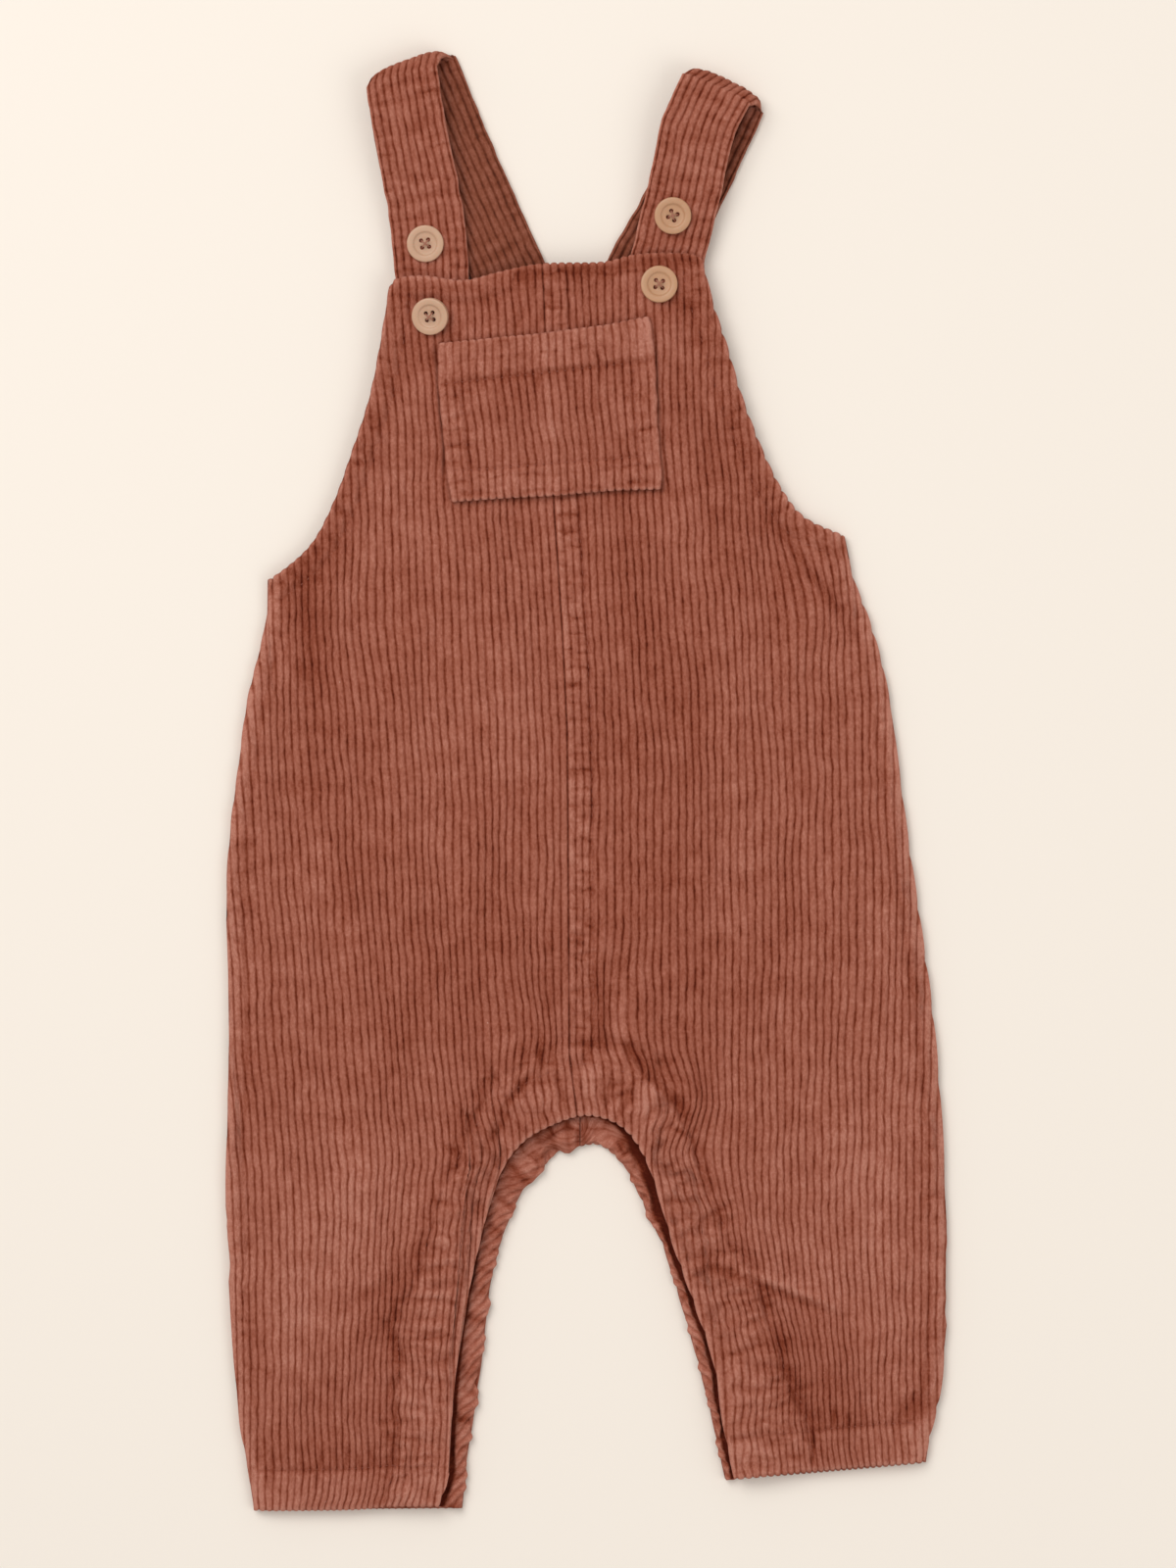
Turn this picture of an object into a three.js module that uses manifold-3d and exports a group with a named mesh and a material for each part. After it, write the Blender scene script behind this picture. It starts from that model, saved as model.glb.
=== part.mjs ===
// Baby's bib overalls in eight-wale corduroy, laid flat on their back.
//
// Millimetres, +Z up. The origin is the middle of the overall box, on the surface that the back
// lies on. +Y points from the hems to the shoulder straps, and "left" is the -X side as seen from
// above. The front lies on the back, the bib lies on the tails of the straps, and each strap runs
// from behind the bib up to a loose fold and back down to the top of the back.

import * as THREE from "three";
import { mergeVertices } from "three/addons/utils/BufferGeometryUtils.js";
import Module from "manifold-3d";

const wasm = await Module();
wasm.setup();

// Cloth
const WALE_PITCH = 25.4 / 8; // eight wales to the inch
const WALE_RISE = 0.8; // crown of a wale above the valley beside it
const CLOTH = 1.4; // plain back of the cloth, up to the valleys
const TURNED = 0.9; // what a hem, a facing or a turned edge adds
const SEAM_GAP = 0.3; // between pieces that are sewn together

// Heights above the surface
const BACK_TOP = 2.0;
const BODY_LIES_AT = 3.4; // inside of the front over the back
const BIB_LIES_AT = 5.9; // inside of the bib over the ends of the straps
const BIB_EDGE_LIES_AT = 7.2; // near its top edge, where the straps cross under it
const PLACKET_TOP = 4.7;
const LEG_LIES_AT = PLACKET_TOP + 0.7; // inside of the front over the placket
const SIDE_LIES_AT = BACK_TOP + SEAM_GAP;
const SIDE_RIM_WALL = 0.6;

// Widths of the worked edges
const SIDE_ROLL = 11; // how far in the side starts to round over
const FACING_WIDTH = 22; // faced strip round the legs and crotch
const HEM_DEPTH = 15;
const EDGE_TURN = 9; // turned edge of the armholes and the bib
const EDGE_ROUND = 2.5;
const EDGE_DROP = 0.7;

// Straps
const STRAP_WIDTH = 30;
const STRAP_WALES = 9;
const STRAP_THICKNESS = 3.0; // two layers, over the crowns
const STRAP_RELIEF = 0.45; // valley below crown, on each face
const STRAP_FOLD_RADIUS = 5; // of the middle of the strap
const STRAP_FLOOR = STRAP_THICKNESS / 2;

// Buttons
const BUTTON_DIAMETER = 15;
const BUTTON_THICKNESS = 2.6;
const BUTTON_HOLE_DIAMETER = 1.7;
const BUTTON_HOLE_SPACING = 3.1;

// Outline of the front, edge by edge, each from one corner to the next
const SIDE_LEFT = [
  { x: -135.8, y: -298.5 },
  { x: -138.2, y: -282 },
  { x: -141.8, y: -262 },
  { x: -143.8, y: -240 },
  { x: -145.6, y: -214 },
  { x: -147.4, y: -182 },
  { x: -146.8, y: -142 },
  { x: -145.8, y: -104 },
  { x: -147.2, y: -54 },
  { x: -145.6, y: -22 },
  { x: -141.8, y: 8 },
  { x: -138.6, y: 32 },
  { x: -133.2, y: 54 },
  { x: -130.2, y: 70 },
  { x: -130.8, y: 81 },
];
const ARMHOLE_LEFT = [
  { x: -130.8, y: 81 },
  { x: -122.6, y: 86.4 },
  { x: -111.6, y: 97 },
  { x: -102.8, y: 114 },
  { x: -95.6, y: 134 },
  { x: -88.4, y: 156 },
  { x: -83.6, y: 180 },
  { x: -80.4, y: 200.4 },
];
const BIB_TOP = [
  { x: -80.4, y: 200.4 },
  { x: -77, y: 204.2 },
  { x: -66, y: 205.2 },
  { x: -50, y: 203.4 },
  { x: -35, y: 207 },
  { x: -18, y: 210.2 },
  { x: 6, y: 210.8 },
  { x: 19, y: 213.8 },
  { x: 33, y: 214.6 },
  { x: 44, y: 213.8 },
  { x: 47.6, y: 211 },
];
const ARMHOLE_RIGHT = [
  { x: 47.6, y: 211 },
  { x: 51.6, y: 194 },
  { x: 57.2, y: 177 },
  { x: 63.8, y: 155 },
  { x: 72.4, y: 133 },
  { x: 80.6, y: 117 },
  { x: 89.6, y: 106.6 },
  { x: 105.2, y: 99.6 },
];
const SIDE_RIGHT = [
  { x: 105.2, y: 99.6 },
  { x: 109.2, y: 82 },
  { x: 116.6, y: 62 },
  { x: 122.8, y: 38 },
  { x: 127.2, y: 8 },
  { x: 131.4, y: -24 },
  { x: 137, y: -62 },
  { x: 142.2, y: -102 },
  { x: 145.6, y: -146 },
  { x: 147.4, y: -192 },
  { x: 147, y: -226 },
  { x: 144.6, y: -250 },
  { x: 141, y: -266 },
  { x: 138.4, y: -277 },
];
const HEM_RIGHT = [
  { x: 138.4, y: -277 },
  { x: 136, y: -278.8 },
  { x: 113, y: -280.4 },
  { x: 94, y: -282.2 },
  { x: 60.4, y: -285.4 },
];
const INNER_EDGE = [
  { x: 60.4, y: -285.4 },
  { x: 56, y: -265.2 },
  { x: 51.8, y: -238 },
  { x: 43.6, y: -213 },
  { x: 35, y: -189 },
  { x: 29.4, y: -170 },
  { x: 23.2, y: -153 },
  { x: 13.8, y: -141.2 },
  { x: 0, y: -137 },
  { x: -14, y: -140.8 },
  { x: -27.2, y: -149 },
  { x: -36.6, y: -164 },
  { x: -44.4, y: -192 },
  { x: -51.6, y: -228 },
  { x: -55.2, y: -262 },
  { x: -56.4, y: -284 },
  { x: -60.4, y: -296.4 },
];
const HEM_LEFT = [
  { x: -60.4, y: -296.4 },
  { x: -80, y: -296.6 },
  { x: -96, y: -298 },
  { x: -135.8, y: -298.5 },
];

// Outline of the back where it differs: it shows past the front inside the legs, and its top
// stays hidden behind the bib
const BACK_ARMHOLE_LEFT = [
  { x: -130.8, y: 81 },
  { x: -118, y: 86.4 },
  { x: -104, y: 97 },
  { x: -92, y: 112 },
  { x: -80, y: 131 },
  { x: -64, y: 152 },
  { x: -44, y: 176 },
];
const BACK_ARMHOLE_RIGHT = [
  { x: 30, y: 176 },
  { x: 52, y: 147 },
  { x: 66, y: 128 },
  { x: 78, y: 113.6 },
  { x: 88, y: 105.6 },
  { x: 105.2, y: 99.6 },
];
const BACK_INNER_LEFT = [
  { x: -2.6, y: -149.8 },
  { x: -9.6, y: -150.4 },
  { x: -20, y: -160.6 },
  { x: -27.4, y: -170 },
  { x: -35.2, y: -189 },
  { x: -39.4, y: -206 },
  { x: -42.6, y: -234 },
  { x: -46.6, y: -262 },
  { x: -49.6, y: -282 },
  { x: -51, y: -297.8 },
];
const BACK_INNER_RIGHT = [
  { x: -2.6, y: -149.8 },
  { x: 6, y: -149.6 },
  { x: 16, y: -158.6 },
  { x: 23.4, y: -174 },
  { x: 30.8, y: -189.4 },
  { x: 36.2, y: -206 },
  { x: 43.4, y: -230 },
  { x: 50.2, y: -256 },
  { x: 54.6, y: -276 },
  { x: 57, y: -286.4 },
];
const BACK_TOP_Y = 176;
const BACK_HEM_LEFT_Y = -298.2;
const BACK_HEM_RIGHT = { innerY: -286.4, outerY: -279.4 };

// The centre seam, which is also the middle line of the grain
const CENTRE_SEAM = [
  { y: 216, x: -18.3 },
  { y: 182, x: -16.8 },
  { y: 110, x: -13.2 },
  { y: 61, x: -9.9 },
  { y: 20, x: -7.9 },
  { y: -30, x: -7.5 },
  { y: -112, x: -7 },
  { y: -140, x: -3.4 },
  { y: -300, x: -2.6 },
];
// How far a wale strays from where it crosses y = 0, out on the left and the right of the body
const GRAIN = [
  { y: 216, left: -12.8, right: -10.8 },
  { y: 180, left: -10, right: -9.6 },
  { y: 140, left: -6.6, right: -8.6 },
  { y: 100, left: -4.2, right: -5.6 },
  { y: 60, left: -3, right: -2.2 },
  { y: 0, left: 0, right: 0 },
  { y: -60, left: 4.2, right: 0.6 },
  { y: -100, left: 7.3, right: -0.2 },
  { y: -160, left: 11.6, right: -1.2 },
  { y: -220, left: 14.2, right: -1.4 },
  { y: -300, left: 15.2, right: -2.4 },
];
const GRAIN_REACH = 90; // how far from the centre seam those two lines run
// Beside the legs' inner edges the wales lean with the edge
const LEG_GRAIN = { startsAtY: -178, share: 0.55, reach: 28 };

// Soft folds: where each is, how it lies (degrees from +X), half its length and width, its height
const FOLDS = [
  { x: -113, y: 56, turn: 100, length: 38, width: 6, height: -0.9 }, // below the left armhole
  { x: 97, y: 74, turn: 125, length: 30, width: 6, height: -0.9 }, // below the right armhole
  { x: -136, y: -96, turn: 90, length: 70, width: 3.5, height: -0.8 }, // along the left side seam
  { x: -78, y: -46, turn: 172, length: 46, width: 6, height: 0.7 }, // across the left hip
  { x: 60, y: -30, turn: 95, length: 60, width: 9, height: 0.5 }, // down the right hip
  { x: 24, y: 60, turn: 92, length: 34, width: 5, height: -0.6 }, // below the pocket
  { x: -22, y: -112, turn: 205, length: 16, width: 6, height: 0.9 }, // crotch, left bulge
  { x: 26, y: -110, turn: 150, length: 18, width: 6, height: 0.9 }, // crotch, right bulge
  { x: 38, y: -132, turn: 115, length: 18, width: 5, height: 0.9 }, // crotch, far right bulge
  { x: -104, y: -190, turn: 80, length: 44, width: 24, height: 0.8 }, // left knee
  { x: 100, y: -188, turn: 95, length: 46, width: 24, height: 0.8 }, // right knee
  { x: 72, y: -207, turn: 166, length: 30, width: 4.5, height: 0.9 }, // crease over the right shin
  { x: 84, y: -250, turn: 128, length: 22, width: 3.5, height: -0.9 }, // beside the right placket
  { x: -78, y: -222, turn: 58, length: 24, width: 4, height: -0.7 }, // beside the left placket
];
const GATHER_PITCH = 9.5; // gathers in the faced edge over the crotch
const GATHER_HEIGHT = 0.35;

const POCKET = {
  topLeft: { x: -61.6, y: 176.9 },
  topRight: { x: 26.3, y: 187.9 },
  bottomLeft: { x: -56, y: 112.8 },
  bottomRight: { x: 31.8, y: 119 },
  wales: 27,
  hem: 10.5,
  turn: 8,
};

// Straps, from the tail behind the bib to the fold, and from the fold to the back. z is the
// height of the middle of the strap, and turn the way it lies across (degrees from +X)
const STRAPS = {
  left: {
    front: [
      { x: -61, y: 177, z: 4.0, turn: 4 },
      { x: -62.4, y: 197, z: 4.6, turn: 5 },
      { x: -63.4, y: 211, z: 5.2, turn: 6 },
      { x: -65, y: 227.8, z: 6.4, turn: 9 },
      { x: -67.4, y: 242.2, z: 8.2, turn: 11 },
      { x: -70.2, y: 255.8, z: 9.8, turn: 12 },
      { x: -72.8, y: 270, z: 11, turn: 13 },
    ],
    foldTop: { x: -75.4, y: 286.2, turn: 17 },
    foldUnder: { x: -67.2, y: 289.3, turn: 23 },
    foldTurn: 21,
    back: [
      { x: -57.6, y: 266.4, z: 1.5, turn: 23 },
      { x: -45.6, y: 238.4, z: 1.5, turn: 24 },
      { x: -35.2, y: 214.8, z: 1.5, turn: 25 },
      { x: -30, y: 203, z: 1.5, turn: 24 },
      { x: -24.6, y: 188, z: 1.9, turn: 20 },
      { x: -22.4, y: 177, z: 3.9, turn: 14 },
      { x: -21.6, y: 167, z: 3.9, turn: 8 },
    ],
  },
  right: {
    front: [
      { x: 28.6, y: 190, z: 5.2, turn: -9 },
      { x: 30.6, y: 202, z: 5.2, turn: -11 },
      { x: 33.3, y: 213.4, z: 5.3, turn: -14 },
      { x: 36.8, y: 227.8, z: 6.4, turn: -13 },
      { x: 40, y: 240.6, z: 8, turn: -11 },
      { x: 42.4, y: 252.2, z: 9.6, turn: -12 },
      { x: 45.6, y: 265.8, z: 11, turn: -18 },
    ],
    foldTop: { x: 52.6, y: 280.8, turn: -24 },
    foldUnder: { x: 58.6, y: 278.4, turn: -23 },
    foldTurn: -26,
    back: [
      { x: 52.2, y: 264, z: 1.5, turn: -23 },
      { x: 40.2, y: 238.6, z: 1.5, turn: -27 },
      { x: 26.8, y: 214.8, z: 1.5, turn: -29 },
      { x: 20.4, y: 203, z: 1.5, turn: -28 },
      { x: 13.6, y: 188, z: 1.9, turn: -20 },
      { x: 10.8, y: 177, z: 3.9, turn: -14 },
      { x: 9.8, y: 167, z: 3.9, turn: -8 },
    ],
  },
};

const BUTTONS = {
  button_strap_left: { x: -65.8, y: 218.6, on: "strap", tiltX: 5, tiltY: 0 },
  button_strap_right: { x: 35.2, y: 229.9, on: "strap", tiltX: 7, tiltY: 0 },
  button_bib_left: { x: -63.7, y: 188.6, on: "bib", tiltX: 0, tiltY: 9 },
  button_bib_right: { x: 29.6, y: 201.8, on: "bib", tiltX: 0, tiltY: 0 },
};

const COLOURS = {
  front: 0xa6604b,
  back: 0x9c5843,
  trim: 0xa25c47,
  strap: 0xa96450,
  button: 0xbd9069,
};

// Small mathematics
const radians = THREE.MathUtils.degToRad;
const mix = THREE.MathUtils.lerp;
const smooth = (low, high, value) => THREE.MathUtils.smoothstep(value, low, high);

// A smooth line through the rows of an outline table
function trace(rows, steps = 5) {
  const curve = new THREE.SplineCurve(rows.map((row) => new THREE.Vector2(row.x, row.y)));
  return curve.getPoints((rows.length - 1) * steps);
}

// The value of one column of a table at a height y, straight between the rows
function column(rows, name, y) {
  const next = rows.findIndex((row) => row.y <= y);
  if (next === 0) return rows[0][name];
  if (next < 0) return rows[rows.length - 1][name];
  const above = rows[next - 1];
  const below = rows[next];
  return mix(below[name], above[name], (y - below.y) / (above.y - below.y));
}

function distanceTo(line, x, y) {
  let nearest = Infinity;
  for (let i = 1; i < line.length; i++) {
    const a = line[i - 1];
    const b = line[i];
    const dx = b.x - a.x;
    const dy = b.y - a.y;
    const along = ((x - a.x) * dx + (y - a.y) * dy) / (dx * dx + dy * dy || 1);
    const t = THREE.MathUtils.clamp(along, 0, 1);
    nearest = Math.min(nearest, Math.hypot(x - a.x - t * dx, y - a.y - t * dy));
  }
  return nearest;
}

const edges = {
  sideLeft: trace(SIDE_LEFT),
  armholeLeft: trace(ARMHOLE_LEFT),
  bibTop: trace(BIB_TOP),
  armholeRight: trace(ARMHOLE_RIGHT),
  sideRight: trace(SIDE_RIGHT),
  hemRight: trace(HEM_RIGHT),
  inner: trace(INNER_EDGE),
  hemLeft: trace(HEM_LEFT),
};
const frontOutline = Object.values(edges).flat();

// The crossings of a closed outline with the height y, and whether x lies inside
function isInside(outline, x, y) {
  let inside = false;
  for (let i = 0, j = outline.length - 1; i < outline.length; j = i++) {
    const a = outline[i];
    const b = outline[j];
    const crosses = a.y > y !== b.y > y;
    if (crosses && x < ((b.x - a.x) * (y - a.y)) / (b.y - a.y) + a.x) inside = !inside;
  }
  return inside;
}

// Where the wale that crosses y = 0 at u lies at the height y
function waleX(u, y) {
  const seam = column(CENTRE_SEAM, "x", 0);
  const centre = column(CENTRE_SEAM, "x", y) - seam;
  const side = u < seam ? "left" : "right";
  const share = Math.min(Math.abs(u - seam) / GRAIN_REACH, 1);
  const x = u + mix(centre, column(GRAIN, side, y), share);
  if (y > LEG_GRAIN.startsAtY) return x;
  const inner = side === "left" ? INNER_BY_HEIGHT.left : INNER_BY_HEIGHT.right;
  const start = column(inner, "x", LEG_GRAIN.startsAtY);
  const now = column(inner, "x", y);
  const away = (x - now) / LEG_GRAIN.reach;
  return x + (now - start) * LEG_GRAIN.share * Math.exp(-away * away);
}
const INNER_BY_HEIGHT = {
  right: INNER_EDGE.slice(0, 9).reverse(),
  left: INNER_EDGE.slice(8),
};

// The lowest and highest point of a wale inside the outline
function waleSpan(outline, u) {
  const STEP = 1;
  const LOW = -302;
  const HIGH = 217;
  const inside = (y) => isInside(outline, waleX(u, y), y);
  const settle = (outer, inner) => {
    for (let i = 0; i < 14; i++) {
      const middle = (outer + inner) / 2;
      if (inside(middle)) inner = middle;
      else outer = middle;
    }
    return inner;
  };
  let best = null;
  let start = null;
  for (let y = LOW; y <= HIGH; y += STEP) {
    if (inside(y) && start === null) start = y;
    if (!inside(y) && start !== null) {
      if (!best || y - start > best.high - best.low) best = { low: start, high: y - STEP };
      start = null;
    }
  }
  if (!best) return null;
  return { low: settle(best.low - STEP, best.low), high: settle(best.high + STEP, best.high) };
}

function foldHeight(x, y) {
  let height = 0;
  for (const fold of FOLDS) {
    const c = Math.cos(radians(fold.turn));
    const s = Math.sin(radians(fold.turn));
    const along = ((x - fold.x) * c + (y - fold.y) * s) / fold.length;
    const across = (-(x - fold.x) * s + (y - fold.y) * c) / fold.width;
    height += fold.height * Math.exp(-(across ** 2)) * Math.exp(-(along ** 4));
  }
  return height;
}

// How far each worked edge is from a point of the front
function edgeDistances(x, y) {
  return {
    side: Math.min(distanceTo(edges.sideLeft, x, y), distanceTo(edges.sideRight, x, y)),
    leg: distanceTo(edges.inner, x, y),
    hem: Math.min(distanceTo(edges.hemLeft, x, y), distanceTo(edges.hemRight, x, y)),
    top: Math.min(
      distanceTo(edges.armholeLeft, x, y),
      distanceTo(edges.armholeRight, x, y),
      distanceTo(edges.bibTop, x, y),
    ),
  };
}

// The front's inside and its outside in the valleys
function frontHeights(x, y) {
  const d = edgeDistances(x, y);
  const overLeg = 1 - smooth(8, 34, d.leg);
  let inside = mix(BODY_LIES_AT, BIB_LIES_AT, smooth(112, 168, y));
  inside = mix(inside, BIB_EDGE_LIES_AT, smooth(164, 186, y));
  inside = mix(inside, LEG_LIES_AT, overLeg);
  inside += foldHeight(x, y) * smooth(2, 9, Math.min(d.side, d.leg, d.hem));
  inside += GATHER_HEIGHT * (1 - smooth(10, 26, d.leg)) * Math.sin((2 * Math.PI * x) / GATHER_PITCH)
    * smooth(-190, -160, y);
  const roll = Math.sqrt(1 - (1 - Math.min(d.side / SIDE_ROLL, 1)) ** 2);
  inside = mix(SIDE_LIES_AT, inside, roll);

  const turned = Math.max(
    1 - smooth(FACING_WIDTH - 9, FACING_WIDTH + 3, d.leg),
    1 - smooth(HEM_DEPTH - 2, HEM_DEPTH, d.hem),
    1 - smooth(EDGE_TURN - 3, EDGE_TURN, d.top),
  );
  let wall = CLOTH + TURNED * turned * smooth(2, 7, d.side);
  wall = mix(SIDE_RIM_WALL, wall, smooth(0, 4, d.side));
  wall -= EDGE_DROP * (1 - smooth(0, EDGE_ROUND, Math.min(d.leg, d.hem, d.top))) * smooth(0, 4, d.side);
  return { inside, valley: inside + wall, rise: WALE_RISE * mix(0.4, 1, smooth(0, 3, d.side)) };
}

// A growing list of triangles
class Faces {
  constructor() {
    this.points = [];
    this.corners = [];
  }
  point(x, y, z) {
    return this.points.push(x, y, z) / 3 - 1;
  }
  triangle(a, b, c) {
    this.corners.push(a, b, c);
  }
  quad(a, b, c, d) {
    this.triangle(a, b, c);
    this.triangle(a, c, d);
  }
  geometry() {
    const made = new THREE.BufferGeometry();
    made.setAttribute("position", new THREE.Float32BufferAttribute(this.points, 3));
    made.setIndex(this.corners);
    made.computeVertexNormals();
    return made;
  }
}

// A wall of cloth from two grids of points, [column][row]. The inner grid keeps only some of the
// outer grid's columns, and the rims are closed between them.
function clothWall(outer, inner, kept) {
  const faces = new Faces();
  const add = (grid) => grid.map((line) => line.map((p) => faces.point(p.x, p.y, p.z)));
  const top = add(outer);
  const under = add(inner);
  const lastRow = outer[0].length - 1;
  for (let i = 0; i + 1 < top.length; i++)
    for (let j = 0; j < lastRow; j++)
      faces.quad(top[i][j], top[i + 1][j], top[i + 1][j + 1], top[i][j + 1]);
  for (let i = 0; i + 1 < under.length; i++)
    for (let j = 0; j < lastRow; j++)
      faces.quad(under[i][j], under[i][j + 1], under[i + 1][j + 1], under[i + 1][j]);
  for (let j = 0; j < lastRow; j++) {
    const i = top.length - 1;
    const k = under.length - 1;
    faces.quad(under[0][j], top[0][j], top[0][j + 1], under[0][j + 1]);
    faces.quad(under[k][j], under[k][j + 1], top[i][j + 1], top[i][j]);
  }
  for (let k = 0; k + 1 < kept.length; k++) {
    for (let i = kept[k]; i < kept[k + 1]; i++) {
      faces.triangle(under[k][0], top[i + 1][0], top[i][0]);
      faces.triangle(under[k][lastRow], top[i][lastRow], top[i + 1][lastRow]);
    }
    faces.triangle(under[k][0], under[k + 1][0], top[kept[k + 1]][0]);
    faces.triangle(under[k][lastRow], top[kept[k + 1]][lastRow], under[k + 1][lastRow]);
  }
  return faces.geometry();
}

// The plain inside needs only every sixth column
const INNER_STEP = 6;
const innerColumns = (count) => {
  const kept = [];
  for (let i = 0; i < count - INNER_STEP / 2; i += INNER_STEP) kept.push(i);
  return [...kept, count - 1];
};

// Rows along a wale: close together over the hem and the turned edge, then shares of the leg up
// to a line above the crotch, with some close together at the knee, and even shares of the body
const ROWS_FROM_HEM = [0, 2.2, 12.5, 15.5];
const ROWS_UP_THE_LEG = [0.18, 0.33, 0.39, 0.45, 0.64, 0.82];
const LEG_ENDS_AT = -96;
const ROWS_OF_BODY = 7;
const ROWS_FROM_TOP = [10.5, 6.5, 2.2, 0];
const FULL_WALE = 90; // shorter wales have all their rows closer together
function rowHeights({ low, high }) {
  const scale = Math.min((high - low) / FULL_WALE, 1);
  const hem = ROWS_FROM_HEM.map((d) => low + d * scale);
  const top = ROWS_FROM_TOP.map((d) => high - d * scale);
  const from = hem[hem.length - 1];
  const hip = THREE.MathUtils.clamp(LEG_ENDS_AT, mix(from, top[0], 0.2), mix(from, top[0], 0.8));
  const leg = ROWS_UP_THE_LEG.map((share) => mix(from, hip, share));
  const body = Array.from({ length: ROWS_OF_BODY }, (_, i) => mix(hip, top[0], i / ROWS_OF_BODY));
  return [...hem, ...leg, ...body, ...top];
}

// Half of the front, from its side to the centre seam
function frontHalf(sign) {
  const seam = column(CENTRE_SEAM, "x", 0) + (sign * SEAM_GAP) / 2;
  const columns = [];
  for (let k = 0; ; k++) {
    const u = seam + (sign * k * WALE_PITCH) / 2;
    const span = waleSpan(frontOutline, u);
    if (!span || span.high - span.low < 12) break;
    columns.push({ u, span, crown: k % 2 === 1 });
  }
  if (sign < 0) columns.reverse();
  const grid = (surface) =>
    columns.map(({ u, span, crown }) =>
      rowHeights(span).map((y) => {
        const x = waleX(u, y);
        return { x, y, z: surface(frontHeights(x, y), crown) };
      }),
    );
  const kept = innerColumns(columns.length);
  const outer = grid((h, crown) => h.valley + (crown ? h.rise : 0));
  const inner = grid((h) => h.inside).filter((_, i) => kept.includes(i));
  return clothWall(outer, inner, kept);
}

// Half of the back: sections across it, flat underneath
const BACK_COLUMNS = 3;
const BACK_CHAMFER = 0.9;
function backHalf(sign) {
  const left = sign < 0;
  const armhole = trace(left ? BACK_ARMHOLE_LEFT : BACK_ARMHOLE_RIGHT);
  const side = left ? edges.sideLeft : edges.sideRight;
  const inner = trace(left ? BACK_INNER_LEFT : BACK_INNER_RIGHT);
  const byHeight = (line) => [...line].sort((a, b) => b.y - a.y);
  const outerLine = byHeight([...armhole, ...side]);
  const innerLine = byHeight(inner);
  const crotchY = innerLine[0].y;
  const hemAt = (share) =>
    left ? BACK_HEM_LEFT_Y : mix(BACK_HEM_RIGHT.outerY, BACK_HEM_RIGHT.innerY, share);
  const heights = [
    ...Array.from({ length: 13 }, (_, i) => mix(BACK_TOP_Y, crotchY + 0.01, i / 12)),
    ...[1.5, 5, 11, 20, 34, 52, 74, 96, 118].map((drop) => crotchY - drop),
  ];
  const rows = [...heights.filter((y) => y > hemAt(0) + 6), null];
  const section = (y) => {
    const outerY = y ?? hemAt(0);
    const innerY = y ?? hemAt(1);
    const outer = column(outerLine, "x", outerY);
    const seam = column(CENTRE_SEAM, "x", innerY) + (sign * SEAM_GAP) / 2;
    const edge = innerY > crotchY ? seam : column(innerLine, "x", innerY);
    return { outer, edge, outerY, innerY, drop: y === null ? 1 : 0 };
  };
  const grid = (z, inset) =>
    Array.from({ length: BACK_COLUMNS + 1 }, (_, i) => {
      const share = left ? i / BACK_COLUMNS : 1 - i / BACK_COLUMNS;
      return [...rows].reverse().map((y) => {
        const s = section(y);
        const from = s.outer - sign * inset;
        return { x: mix(from, s.edge, share), y: mix(s.outerY, s.innerY, share), z };
      });
    });
  const kept = Array.from({ length: BACK_COLUMNS + 1 }, (_, i) => i);
  return clothWall(grid(BACK_TOP, 0), grid(0, BACK_CHAMFER), kept);
}

// The bias-cut facing that shows inside each leg, lying on the back's edge
const PLACKET_WIDTH = 15;
const PLACKET_SECTIONS = 30;
const PLACKET_PROFILE = [
  { across: 0.02, height: 0.9 },
  { across: 0.12, height: 2.0 },
  { across: 0.38, height: 2.4 },
  { across: 0.7, height: 1.9 },
  { across: 1, height: 1.0 },
];
const TWIST_PITCH = 17;
function placketStrip(sign) {
  const line = trace(sign < 0 ? BACK_INNER_LEFT : BACK_INNER_RIGHT);
  const curve = new THREE.SplineCurve(line);
  const points = curve.getSpacedPoints(PLACKET_SECTIONS);
  const length = curve.getLength();
  const base = BACK_TOP + SEAM_GAP;
  const sectionAt = (i) => {
    const p = points[i];
    const a = points[Math.max(i - 1, 0)];
    const b = points[Math.min(i + 1, PLACKET_SECTIONS)];
    const heading = new THREE.Vector2(b.x - a.x, b.y - a.y).normalize();
    const into = new THREE.Vector2(-heading.y, heading.x).multiplyScalar(sign < 0 ? -1 : 1);
    const endShare = smooth(0, 2, i);
    const across = i === 0 ? new THREE.Vector2(0, 1) : into.lerp(new THREE.Vector2(0, 1), 1 - endShare);
    const seamX = i === 0 ? (sign * SEAM_GAP) / 2 : 0;
    return { p, across, seamX, along: (i * length) / PLACKET_SECTIONS };
  };
  const grid = (heightOf) =>
    Array.from({ length: PLACKET_SECTIONS + 1 }, (_, i) => {
      const s = sectionAt(i);
      return PLACKET_PROFILE.map(({ across, height }) => ({
        x: s.p.x + s.seamX + s.across.x * across * PLACKET_WIDTH,
        y: s.p.y + s.across.y * across * PLACKET_WIDTH,
        z: base + heightOf(height, s.along, across),
      }));
    });
  const swell = (height, along, across) =>
    height * (1 - 0.12 * Math.sin((2 * Math.PI * along) / TWIST_PITCH + 3 * across));
  const outer = grid(swell);
  const inner = grid(() => 0);
  const kept = outer.map((_, i) => i);
  if (sign < 0) return clothWall(outer.map(reversed), inner.map(reversed), kept);
  return clothWall(outer, inner, kept);
}
const reversed = (line) => [...line].reverse();

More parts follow.
